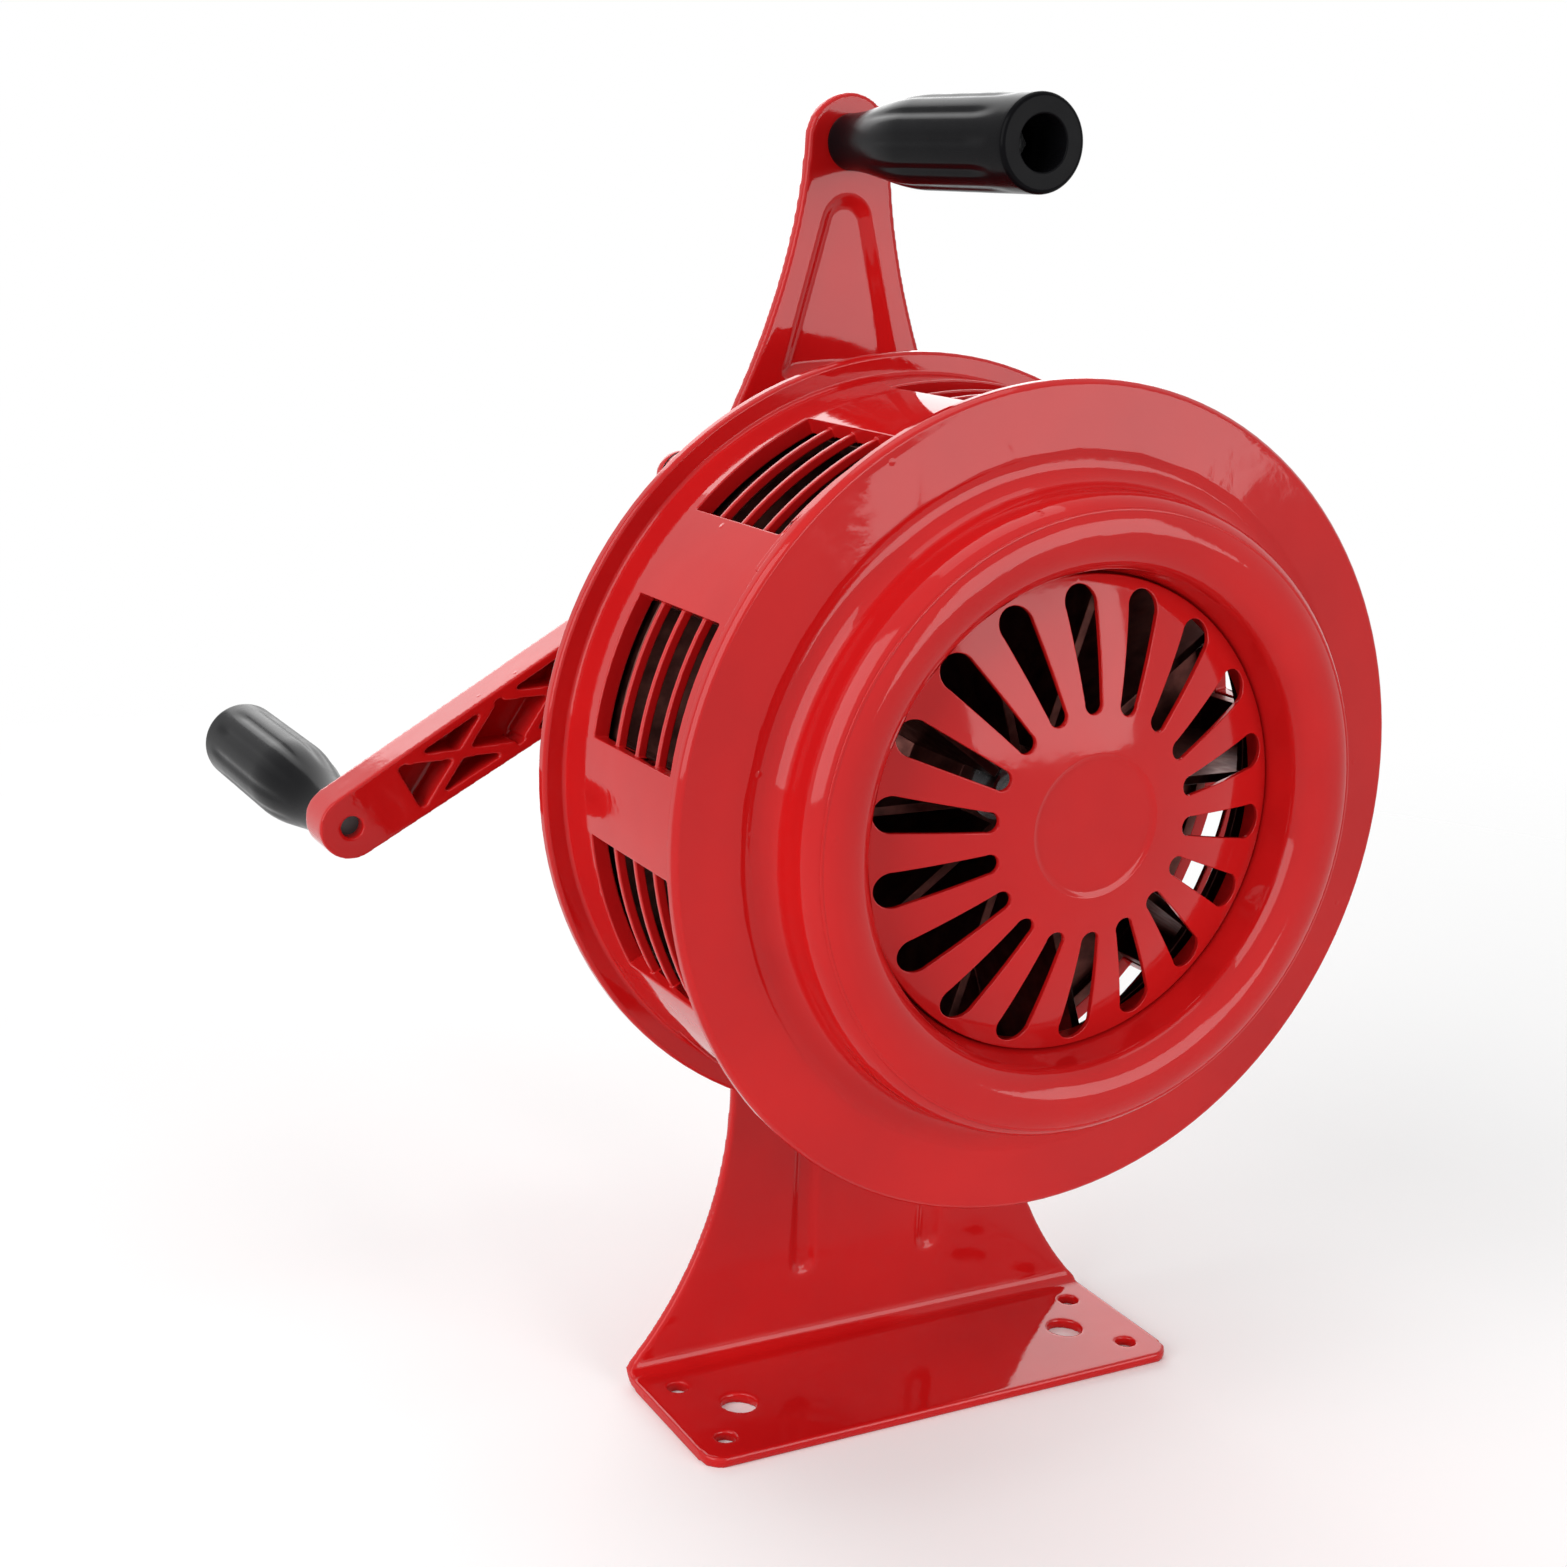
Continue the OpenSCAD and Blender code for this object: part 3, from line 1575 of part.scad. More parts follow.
module idler_gear() {
    color("darkgoldenrod")
        idler_space()
            difference() {
                slab(second_pair_y, second_pair_y + second_pair_w)
                    rotate(-idler_gear_phase)
                        gear_outline(idler_teeth);
                rod(idler_shaft_r + fit, second_pair_y - over, second_pair_y + second_pair_w + over);
            }
}

module idler_pinion() {
    y0 = second_pair_y + second_pair_w + pinion_extra_w;
    color("gray")
        idler_space()
            difference() {
                slab(y0, first_pair_y + crank_gear_w + pinion_extra_w)
                    rotate(-idler_pinion_phase)
                        gear_outline(pinion_teeth);
                rod(idler_shaft_r + fit, y0 - over, first_pair_y + crank_gear_w + pinion_extra_w + over);
            }
}

// Rotor

rotor_r = drum_in_r - rotor_gap;
rotor_rear_set = 4;
rotor_front_reach = 3;
rotor_hub_set = 4;
rotor_tip_reach = 2;
web_gap = 3;
rotor_rear_y = front_boss_y + rotor_rear_set;
rotor_front_y = flange_y - louvre_start - louvre_len - rotor_front_reach;
rotor_hub_y = front_bearing_y - rotor_hub_set;
rotor_hub_len = 30;
rotor_boss_r = 5.6;
rotor_ring_t = 2.4;
rotor_nut_h = 6;
rotor_nut_af = 13;
rotor_washer_r = 9;
rotor_tip_y = rotor_hub_y - rotor_hub_len - washer_t - rotor_nut_h - rotor_tip_reach;
rotor_step_y = front_bearing_y + front_bearing[2] + rotor_tip_reach;
web_in_r = front_bearing[1] + bearing_boss_wall + web_gap;

module rotor_shaft() {
    color("silver")
        siren_axis() {
            rod(front_bearing[0], rotor_tip_y, rotor_step_y);
            rod(rear_bearing[0], rotor_step_y - bite, rear_bearing_y + rear_bearing[2]);
        }
}

module rotor_pinion() {
    y0 = second_pair_y - pinion_extra_w;
    y1 = second_pair_y + second_pair_w + pinion_extra_w;
    color("gray")
        siren_axis()
            difference() {
                slab(y0, y1)
                    rotate(-rotor_pinion_phase)
                        gear_outline(rotor_teeth);
                rod(rear_bearing[0] + fit, y0 - over, y1 + over);
            }
}

module siren_rotor() {
    port_rear_y = flange_y - louvre_start - fin_t;
    port_front_y = rotor_front_y + rotor_ring_t + fin_t;
    vane_len = rotor_rear_y - rotor_front_y - rotor_plate_t;
    color("#303030")
        siren_axis()
            difference() {
                union() {
                    turned([
                        [rotor_r - rotor_rim_t, rotor_front_y + rotor_ring_t],
                        [eye_r, rotor_front_y + rotor_ring_t],
                        [eye_r, rotor_front_y],
                        [rotor_r, rotor_front_y],
                        [rotor_r, rotor_rear_y],
                        [web_in_r, rotor_rear_y],
                        [rotor_boss_r, rotor_hub_y],
                        [rotor_boss_r, front_bearing_y - fit],
                        [front_bearing[0] + fit, front_bearing_y - fit],
                        [front_bearing[0] + fit, rotor_hub_y - rotor_hub_len],
                        [rotor_hub_r, rotor_hub_y - rotor_hub_len],
                        [rotor_hub_r, rotor_hub_y - 2 * rotor_plate_t],
                        [web_in_r, rotor_rear_y - rotor_plate_t],
                        [rotor_r - rotor_rim_t, rotor_rear_y - rotor_plate_t]
                    ]);
                    for (i = [0:vane_count - 1])
                        rotate([0, (i + 0.5) * 360 / vane_count, 0])
                            translate([-vane_t / 2, rotor_front_y + bite, rotor_hub_r - bite])
                                cube([vane_t, vane_len, rotor_r - rotor_hub_r - rotor_rim_t / 2]);
                }
                for (i = [0:louvre_count - 1])
                    rotate([0, i * 360 / louvre_count, 0])
                        slab(port_front_y, port_rear_y)
                            port(rotor_r - 2 * rotor_rim_t, rotor_r + 4 * over);
                rod(front_bearing[1] + bearing_boss_wall + over, front_boss_y - over, rotor_rear_y + over);
            }
}

module rotor_washer() {
    seat = rotor_hub_y - rotor_hub_len;
    color("silver")
        siren_axis()
            difference() {
                rod(rotor_washer_r, seat - washer_t, seat);
                rod(front_bearing[0] + fit, seat - washer_t - over, seat + over);
            }
}

module rotor_nut() {
    seat = rotor_hub_y - rotor_hub_len - washer_t;
    color("silver")
        siren_axis()
            difference() {
                hexagon(rotor_nut_af, seat - rotor_nut_h, seat);
                rod(front_bearing[0] + fit, seat - rotor_nut_h - over, seat + over);
            }
}

stand_bracket();
stand_bolts();
siren_housing();
front_horn();
horn_screws();
intake_grille();
grille_rivets();
gear_cover();
cover_gasket();
cover_screws();
carry_grip();
carry_grip_screw();
carry_grip_nut();
crank_bushes();
idler_bushes();
bearing_outer_rings();
bearing_balls();
bearing_circlip();
crank_shaft();
crank_gear();
crank_keys();
crank_thrust_washer();
crank_circlip();
crank_spacer();
crank_arm();
crank_washer();
crank_nut();
crank_cap();
crank_grip_screw();
crank_grip_washer();
crank_grip();
idler_shaft();
idler_gear();
idler_pinion();
rotor_shaft();
bearing_inner_rings();
rotor_pinion();
siren_rotor();
rotor_washer();
rotor_nut();
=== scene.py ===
"""Looks of the hand crank siren: finishes, soft edges, stage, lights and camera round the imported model."""
import json
import math

import bmesh
import bpy
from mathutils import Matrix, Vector


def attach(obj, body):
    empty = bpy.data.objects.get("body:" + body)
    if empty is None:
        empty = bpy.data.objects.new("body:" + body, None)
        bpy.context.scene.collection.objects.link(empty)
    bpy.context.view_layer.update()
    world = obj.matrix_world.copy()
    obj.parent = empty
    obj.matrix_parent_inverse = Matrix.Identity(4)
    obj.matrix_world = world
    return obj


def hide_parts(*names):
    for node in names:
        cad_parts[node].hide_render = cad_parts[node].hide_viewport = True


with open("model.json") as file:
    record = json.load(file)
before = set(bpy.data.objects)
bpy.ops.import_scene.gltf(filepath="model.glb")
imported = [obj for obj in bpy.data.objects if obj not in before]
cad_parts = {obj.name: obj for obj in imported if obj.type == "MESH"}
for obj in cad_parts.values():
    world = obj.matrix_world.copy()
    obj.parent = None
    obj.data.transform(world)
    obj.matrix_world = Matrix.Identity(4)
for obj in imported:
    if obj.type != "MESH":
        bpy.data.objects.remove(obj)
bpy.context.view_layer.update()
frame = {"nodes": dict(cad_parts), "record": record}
nodes = frame["nodes"]
behaviour = frame["record"]["behaviour"]
BODY_OF = {name: body for body, names in behaviour["bodies"].items() for name in names}
SLOT_OF = {part["node"]: part["material_slot"] for part in frame["record"]["subparts"]}
JOINT_PLACE = {joint["name"]: joint["pos_m"] for joint in behaviour["joints"]}

# Shapes are written in millimetres; the stage, lamps and camera in the scene's metres
MM = 0.001
AXIS_Z = JOINT_PLACE["rotor_spin"][2] / MM


def put(name, data):
    """Puts a mesh, lamp or camera in the scene."""
    thing = bpy.data.objects.new(name, data)
    bpy.context.scene.collection.objects.link(thing)
    return thing


def facing(place, aim):
    """The turn that points a lamp or camera from its place at its aim."""
    return (aim - place).to_track_quat("-Z", "Y").to_euler()


# Camera

CAMERA_PLACE = Vector((-0.3280, -0.5042, 0.3228))
CAMERA_AIM = Vector((-0.0318, 0.0303, 0.1680))
CAMERA_ROLL = math.radians(2.53)
LENS, SENSOR = 53.5, 36
CLIP_NEAR, CLIP_FAR = 0.02, 30


def add_camera():
    """The camera that took the photograph's front view of the siren."""
    data = bpy.data.cameras.new("camera")
    data.lens = LENS
    data.sensor_width = SENSOR
    data.clip_start = CLIP_NEAR
    data.clip_end = CLIP_FAR
    camera = put("camera", data)
    camera.location = CAMERA_PLACE
    camera.rotation_euler = facing(CAMERA_PLACE, CAMERA_AIM)
    camera.rotation_euler.rotate_axis("Z", CAMERA_ROLL)
    bpy.context.scene.camera = camera


# Node helpers for materials

# Places of the colour sockets on a Mix node, whose names its other sockets share
MIX_FIRST, MIX_SECOND, MIX_RESULT = 6, 7, 2

# Most of a noise's values lie between these
NOISE_LOW, NOISE_HIGH = 0.3, 0.7


class Tree:
    """A small builder for a material's node tree."""

    def __init__(self, name):
        self.material = bpy.data.materials.new(name)
        self.material.use_nodes = True
        self.tree = self.material.node_tree
        self.tree.nodes.clear()
        self.output = self.add("ShaderNodeOutputMaterial")
        self.place = self.add("ShaderNodeTexCoord").outputs["Object"]

    def add(self, kind, **settings):
        node = self.tree.nodes.new(kind)
        for name, value in settings.items():
            setattr(node, name, value)
        return node

    def link(self, source, target):
        self.tree.links.new(source, target)

    def feed(self, socket, value):
        """Sets a socket to a number or a colour, or links it to another node's output."""
        if isinstance(value, (int, float, tuple)):
            socket.default_value = value
        else:
            self.link(value, socket)

    def noise(self, scale, detail=2.0, rough=0.5, distortion=0.0):
        node = self.add("ShaderNodeTexNoise")
        node.inputs["Scale"].default_value = scale
        node.inputs["Detail"].default_value = detail
        node.inputs["Roughness"].default_value = rough
        node.inputs["Distortion"].default_value = distortion
        self.link(self.place, node.inputs["Vector"])
        return node.outputs["Fac"]

    def span(self, value, low, high, to_low=0.0, to_high=1.0):
        """A value carried over from one range to another."""
        node = self.add("ShaderNodeMapRange")
        node.inputs["From Min"].default_value = low
        node.inputs["From Max"].default_value = high
        node.inputs["To Min"].default_value = to_low
        node.inputs["To Max"].default_value = to_high
        self.link(value, node.inputs["Value"])
        return node.outputs["Result"]

    def spread(self, noise, to_low=0.0, to_high=1.0):
        """A noise whose usual values fill a range."""
        return self.span(noise, NOISE_LOW, NOISE_HIGH, to_low, to_high)

    def calc(self, operation, first, second):
        node = self.add("ShaderNodeMath", operation=operation)
        self.feed(node.inputs[0], first)
        self.feed(node.inputs[1], second)
        return node.outputs["Value"]

    def blend(self, factor, first, second):
        node = self.add("ShaderNodeMix", data_type="RGBA")
        self.feed(node.inputs["Factor"], factor)
        self.feed(node.inputs[MIX_FIRST], first)
        self.feed(node.inputs[MIX_SECOND], second)
        return node.outputs[MIX_RESULT]

    def bump(self, height, distance, normal=None):
        node = self.add("ShaderNodeBump")
        node.inputs["Strength"].default_value = 1.0
        node.inputs["Distance"].default_value = distance
        self.link(height, node.inputs["Height"])
        if normal is not None:
            self.link(normal, node.inputs["Normal"])
        return node.outputs["Normal"]

    def shader(self, **sockets):
        """The piece's surface; a socket's name is written with underscores for its spaces."""
        node = self.add("ShaderNodeBsdfPrincipled")
        for name, value in sockets.items():
            self.feed(node.inputs[name.replace("_", " ")], value)
        self.link(node.outputs["BSDF"], self.output.inputs["Surface"])


# Finishes

RED = (0.60, 0.010, 0.010, 1.0)
DEEP_RED = (0.52, 0.008, 0.009, 1.0)
RUN_HEIGHT, PEEL_HEIGHT, NIB_HEIGHT = 0.10 * MM, 0.012 * MM, 0.12 * MM
ENAMEL_SHINE, PLASTIC_SHINE = 0.26, 0.035
WORN_TONE = 0.7


def nibs(tree, scale, reach, share):
    """Rare round specks of dust under the paint, as a height from 0 to 1."""
    cells = tree.add("ShaderNodeTexVoronoi", feature="F1")
    cells.inputs["Scale"].default_value = scale
    tree.link(tree.place, cells.inputs["Vector"])
    dome = tree.span(cells.outputs["Distance"], 0.0, reach, 1.0, 0.0)
    parts = tree.add("ShaderNodeSeparateColor")
    tree.link(cells.outputs["Color"], parts.inputs["Color"])
    rare = tree.calc("GREATER_THAN", parts.outputs["Red"], 1 - share)
    return tree.calc("MULTIPLY", dome, rare)


def enamel(name, roughness):
    """Thick glossy red enamel with slight runs, orange peel and a few specks of dust."""
    tree = Tree(name)
    runs = tree.bump(tree.noise(75, detail=2, rough=0.45, distortion=0.4), RUN_HEIGHT)
    peel = tree.bump(tree.noise(520), PEEL_HEIGHT, runs)
    tree.shader(
        Base_Color=tree.blend(tree.spread(tree.noise(22, detail=3, rough=0.55)), DEEP_RED, RED),
        Roughness=tree.spread(tree.noise(140, detail=3), *roughness),
        Specular_IOR_Level=ENAMEL_SHINE,
        Normal=tree.bump(nibs(tree, scale=95, reach=0.09, share=0.16), NIB_HEIGHT, peel),
    )
    return tree.material


def metal(name, light, dark, roughness, grain=900, scratch=0.004):
    """Plated or ground metal with fine grain and cloudy tone."""
    tree = Tree(name)
    tree.shader(
        Base_Color=tree.blend(tree.spread(tree.noise(160, detail=4, rough=0.6)), dark, light),
        Metallic=1.0,
        Roughness=tree.spread(tree.noise(260, detail=3), *roughness),
        Normal=tree.bump(tree.noise(grain, detail=3, rough=0.6), scratch * MM),
    )
    return tree.material


def plastic(name, colour, roughness, skin=0.01):
    """Moulded plastic, rubber or dull paint with a faint skin."""
    tree = Tree(name)
    worn = tuple(WORN_TONE * part for part in colour[:3]) + (1.0,)
    tree.shader(
        Base_Color=tree.blend(tree.spread(tree.noise(60, detail=3)), worn, colour),
        Roughness=tree.spread(tree.noise(180, detail=3), *roughness),
        Specular_IOR_Level=PLASTIC_SHINE,
        Normal=tree.bump(tree.noise(1400), skin * MM),
    )
    return tree.material


def grey(tone):
    return (tone, tone, tone, 1.0)


FINISHES = {
    "red_casting": enamel("red_enamel_casting", (0.025, 0.095)),
    "red_steel": enamel("red_enamel_steel", (0.04, 0.11)),
    "zinc_steel": metal(
        "zinc_plate", (0.36, 0.365, 0.37, 1), (0.27, 0.275, 0.285, 1), (0.16, 0.28), grain=500, scratch=0.0015
    ),
    "ground_steel": metal("ground_steel", grey(0.62), grey(0.5), (0.2, 0.35)),
    "dark_steel": metal("oiled_steel", grey(0.12), grey(0.05), (0.3, 0.5)),
    "bronze": metal("sintered_bronze", (0.55, 0.33, 0.13, 1), (0.42, 0.24, 0.1, 1), (0.35, 0.5)),
    "black_plastic": plastic("black_grip", (0.005, 0.005, 0.006, 1), (0.16, 0.24), skin=0.002),
    "black_casting": plastic("black_paint", (0.01, 0.01, 0.011, 1), (0.3, 0.5)),
    "gasket_rubber": plastic("gasket_sheet", (0.02, 0.018, 0.018, 1), (0.6, 0.8)),
}

# Nodes that look different from the other nodes of their material slot
OWN_FINISHES = {
    # The crank grip screw's end is coloured near black as painted shade, as if it sat deep in its hole
    "crank_grip_screw": metal("zinc_painted_shade", grey(0.1), grey(0.06), (0.35, 0.5)),
    # The rotor's steel is tinted dark red-brown as painted reflection of red light bounced off the louvre fins
    "siren_rotor": metal("steel_painted_red_bounce", (0.15, 0.055, 0.045, 1), (0.06, 0.022, 0.02, 1), (0.3, 0.5)),
}


def paint_nodes():
    """Every node takes its own finish, or else the finish of its material slot."""
    for name, piece in nodes.items():
        piece.data.materials.clear()
        piece.data.materials.append(OWN_FINISHES.get(name, FINISHES[SLOT_OF[name]]))


# Soft edges

SOFT_EDGES = {
    "siren_housing": 0.45,
    "crank_cap": 0.25,
    "intake_grille": 0.3,
    "stand_bolts": 0.25,
    "siren_rotor": 0.3,
}

# Nodes whose roundings have to stop where they would run into each other
CLAMPED_NODES = ("stand_bolts",)
WELD_REACH = 0.003
FLAT_ANGLE, SHARP_ANGLE = math.radians(0.4), math.radians(32)
ROUND_STEPS = 3


def even_normals(piece):
    """Lets the large faces of a piece lead its shading."""
    piece.modifiers.new("normals", "WEIGHTED_NORMAL")


def soften(piece, width, clamp=False):
    """Rounds a piece's sharp edges, as paint, plating or a mould does."""
    weld = piece.modifiers.new("weld", "WELD")
    weld.merge_threshold = WELD_REACH * MM
    flat = piece.modifiers.new("flat", "DECIMATE")
    flat.decimate_type = "DISSOLVE"
    flat.angle_limit = FLAT_ANGLE
    round_edges = piece.modifiers.new("round_edges", "BEVEL")
    round_edges.width = width * MM
    round_edges.segments = ROUND_STEPS
    round_edges.limit_method = "ANGLE"
    round_edges.angle_limit = SHARP_ANGLE
    round_edges.use_clamp_overlap = clamp
    round_edges.miter_outer = "MITER_ARC"
    even_normals(piece)


def smooth_nodes():
    for name, width in SOFT_EDGES.items():
        soften(nodes[name], width, clamp=name in CLAMPED_NODES)


# Pieces that stand for nodes, and the tools that shape them

def shape_of(node):
    """A node's own mesh, welded and with its flat faces whole, ready to be reshaped."""
    shape = bmesh.new()
    shape.from_mesh(nodes[node].data)
    bmesh.ops.scale(shape, vec=(1 / MM,) * 3, verts=shape.verts)
    bmesh.ops.remove_doubles(shape, verts=shape.verts, dist=WELD_REACH)
    bmesh.ops.dissolve_limit(shape, angle_limit=FLAT_ANGLE, verts=shape.verts, edges=shape.edges)
    return shape


def put_shape(name, shape, slot):
    """Puts a shape in the scene in metres, shaded smooth and in a slot's finish."""
    bmesh.ops.scale(shape, vec=(MM,) * 3, verts=shape.verts)
    mesh = bpy.data.meshes.new(name)
    shape.to_mesh(mesh)
    shape.free()
    mesh.materials.append(FINISHES[slot])
    for face in mesh.polygons:
        face.use_smooth = True
    return put(name, mesh)


def dress(node, name, shape):
    """Puts a shape in the scene as the piece that stands for a node."""
    piece = put_shape(name, shape, SLOT_OF[node])
    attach(piece, BODY_OF[node])
    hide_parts(node)
    return piece


def add_extra(name, shape, body, slot):
    """Puts a shape in the scene that no node stands for."""
    piece = put_shape(name, shape, slot)
    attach(piece, body)


def melt(piece, cell, rounds):
    """Gives a piece the soft edges of a pressing or casting under thick enamel."""
    cells = piece.modifiers.new("cells", "REMESH")
    cells.mode = "VOXEL"
    cells.voxel_size = cell * MM
    cells.use_smooth_shade = True
    relax = piece.modifiers.new("relax", "SMOOTH")
    relax.iterations = rounds


def settle(piece):
    """Makes the mesh that a piece's modifiers give its own, so that it can be reshaped further."""
    mesh = bpy.data.meshes.new_from_object(piece.evaluated_get(bpy.context.evaluated_depsgraph_get()))
    piece.modifiers.clear()
    piece.data = mesh


def lighten(piece, keep):
    """Leaves a piece only a share of its faces."""
    lighter = piece.modifiers.new("lighter", "DECIMATE")
    lighter.ratio = keep


def ease(value, low, high):
    """A share from 0 to 1 that starts and ends softly between two values."""
    share = min(max((value - low) / (high - low), 0.0), 1.0)
    return share * share * (3 - 2 * share)


# Stand

PLATE_CELL, PLATE_ROUNDS, PLATE_KEEP = 0.6, 6, 0.4
PLATE_FRONT_Y, PLATE_REAR_Y, BEAD_RISE = 26.0, 29.0, 1.3
BEAD_X, BEAD_LOW, BEAD_HIGH = 21.0, 27.0, 104.0
BEAD_CORE, BEAD_REACH, BEAD_SLOPE = 1.0, 5.5, 1.6
GROOVE_SHARE, GROOVE_EDGE_SHARE = 0.8, -0.4
ON_FACE = 0.05


def way_from_bead(point):
    """The way to a point from the middle line of the nearer one of the stand's two beads."""
    height = min(max(point.z, BEAD_LOW), BEAD_HIGH)
    return Vector((point.x - math.copysign(BEAD_X, point.x), 0.0, point.z - height))


def lean_share(y):
    """How much of a bead's slope a face at this depth takes; below 0 it leans outwards."""
    if abs(y - PLATE_REAR_Y - BEAD_RISE) < ON_FACE:
        return 1.0
    if abs(y - PLATE_FRONT_Y - BEAD_RISE) < ON_FACE:
        return GROOVE_SHARE
    if abs(y - PLATE_FRONT_Y) < ON_FACE:
        return GROOVE_EDGE_SHARE
    return 0.0


def slope_beads(shape):
    """Leans the beads' walls, so that they are soft ridges behind and soft grooves in front."""
    for vert in shape.verts:
        way = way_from_bead(vert.co)
        if BEAD_CORE <= way.length < BEAD_REACH:
            vert.co -= way.normalized() * BEAD_SLOPE * lean_share(vert.co.y)


def add_stand():
    """The pressed plate stand with soft beads and rounded, thickly painted edges."""
    shape = shape_of("stand_bracket")
    slope_beads(shape)
    piece = dress("stand_bracket", "painted_stand", shape)
    melt(piece, PLATE_CELL, PLATE_ROUNDS)
    lighten(piece, PLATE_KEEP)


# Gear cover with its carrying arm

COVER_FRONT_Y, COVER_REAR_Y, PANEL_RISE = 65.5, 69.0, 1.2
PANEL_LOW_Z, PANEL_HIGH_Z = 276.8, 321.0
PANEL_LOW_HALF, PANEL_HIGH_HALF = 16.5, 5.8
PANEL_MARGIN, PANEL_WALL, PANEL_SPREAD, PRESS_DEPTH = 0.8, 4.4, 0.6, 1.9
FACE_SLACK, FACE_BEYOND = 0.1, 0.5
TOP_START, TOP_SWEEP, TOP_STEPS, FOOT_STEPS = 12, 156, 16, 12


def near_panel(point, margin):
    """Whether a point lies at the triangular panel that is pressed into the carrying arm."""
    share = min(max((PANEL_HIGH_Z - point.z) / (PANEL_HIGH_Z - PANEL_LOW_Z), 0), 1)
    half = PANEL_HIGH_HALF + (PANEL_LOW_HALF - PANEL_HIGH_HALF) * share + margin
    in_height = PANEL_LOW_Z - margin < point.z < PANEL_HIGH_Z + margin
    return in_height and abs(point.x) < half and point.y > COVER_FRONT_Y - FACE_BEYOND


def press_flat(shape):
    """Takes the stepped panel out of the arm, so that a soft one can be pressed in its place."""
    for vert in shape.verts:
        if not near_panel(vert.co, PANEL_MARGIN):
            continue
        if vert.co.y < COVER_FRONT_Y + PANEL_RISE + FACE_SLACK:
            vert.co.y = COVER_FRONT_Y
        elif vert.co.y > COVER_REAR_Y - FACE_SLACK:
            vert.co.y = COVER_REAR_Y


def panel_outline():
    """The panel's outline as points (x, z): a round top, straight sides and a slightly bowed foot."""
    top_z = PANEL_HIGH_Z - PANEL_HIGH_HALF
    turns = [math.radians(TOP_START + TOP_SWEEP * k / TOP_STEPS) for k in range(TOP_STEPS + 1)]
    top = [(PANEL_HIGH_HALF * math.cos(turn), top_z + PANEL_HIGH_HALF * math.sin(turn)) for turn in turns]
    foot_r = PANEL_LOW_Z - AXIS_Z
    foot_x = [PANEL_LOW_HALF * (2 * k / FOOT_STEPS - 1) for k in range(FOOT_STEPS + 1)]
    foot = [(x, AXIS_Z + math.sqrt(foot_r * foot_r - x * x)) for x in foot_x]
    return top + foot


def reach_inside(x, z, outline):
    """How far a point lies inside an outline; negative where it lies outside."""
    inside, nearest = False, math.inf
    for (ax, az), (bx, bz) in zip(outline, outline[1:] + outline[:1]):
        dx, dz = bx - ax, bz - az
        share = min(max(((x - ax) * dx + (z - az) * dz) / (dx * dx + dz * dz), 0), 1)
        nearest = min(nearest, math.hypot(x - ax - share * dx, z - az - share * dz))
        if (az > z) != (bz > z) and x < ax + dx * (z - az) / dz:
            inside = not inside
    return nearest if inside else -nearest


def press_panel(mesh):
    """Presses the panel into the flat arm with a soft wall all round."""
    outline = panel_outline()
    for vert in mesh.vertices:
        point = vert.co / MM
        if near_panel(point, PANEL_WALL) and point.y < COVER_REAR_Y + FACE_BEYOND:
            share = reach_inside(point.x, point.z, outline) / PANEL_WALL + PANEL_SPREAD
            vert.co.y += PRESS_DEPTH * ease(share, 0, 1) * MM


def add_cover():
    """The gear cover and its carrying arm, with a soft pressed panel."""
    shape = shape_of("gear_cover")
    press_flat(shape)
    piece = dress("gear_cover", "painted_cover", shape)
    melt(piece, PLATE_CELL, PLATE_ROUNDS)
    settle(piece)
    press_panel(piece.data)
    lighten(piece, PLATE_KEEP)


# Horn

HORN_FACE_Y, HORN_CROWN, HORN_EDGE = -50.2, 2.6, 0.5
HORN_NECK_R, HORN_CREST_R, HORN_RIM_R = 79.9, 89.0, 105.0


def crown_face(shape):
    """Raises the horn's flat face beside the collar, so that it falls away towards its rim."""
    for vert in shape.verts:
        reach = math.hypot(vert.co.x, vert.co.z - AXIS_Z)
        if vert.co.y < HORN_FACE_Y and HORN_NECK_R < reach < HORN_RIM_R:
            rise = (reach - HORN_NECK_R) / (HORN_CREST_R - HORN_NECK_R)
            fall = (HORN_RIM_R - reach) / (HORN_RIM_R - HORN_CREST_R)
            vert.co.y -= HORN_CROWN * min(rise, fall)


def add_horn():
    """The horn with a slightly crowned face, as its reflections in the photograph show it."""
    shape = shape_of("front_horn")
    crown_face(shape)
    soften(dress("front_horn", "painted_horn", shape), HORN_EDGE)


# Crank arm

ARM_CELL, ARM_ROUNDS, ARM_KEEP = 0.5, 7, 0.5


def add_crank_arm():
    """The cast crank arm with well rounded edges."""
    piece = dress("crank_arm", "painted_crank_arm", shape_of("crank_arm"))
    melt(piece, ARM_CELL, ARM_ROUNDS)
    lighten(piece, ARM_KEEP)


# Turned pieces

RING_MERGE = 0.001


def lathe(rows, turns, x, z):
    """A surface through rings round an axis along Y at x and z; a row is a ring's radius and its place along Y.

    A radius is a number, or a function that gives it by angle.
    """
    shape = bmesh.new()
    rings = []
    for radius, y in rows:
        ring = []
        for k in range(turns):
            angle = 2 * math.pi * k / turns
            r = radius(angle) if callable(radius) else radius
            ring.append(shape.verts.new((x + r * math.sin(angle), y, z + r * math.cos(angle))))
        rings.append(ring)
    for lower, upper in zip(rings, rings[1:]):
        for k in range(turns):
            after = (k + 1) % turns
            shape.faces.new((lower[k], lower[after], upper[after], upper[k]))
    bmesh.ops.remove_doubles(shape, verts=shape.verts, dist=RING_MERGE)
    bmesh.ops.recalc_face_normals(shape, faces=shape.faces)
    return shape


LINE_R, LINE_Y, LINE_HALF, LINE_RISE = 76.4, -69.75, 0.6, 0.3
LINE_STEPS, LINE_TURNS = 8, 240


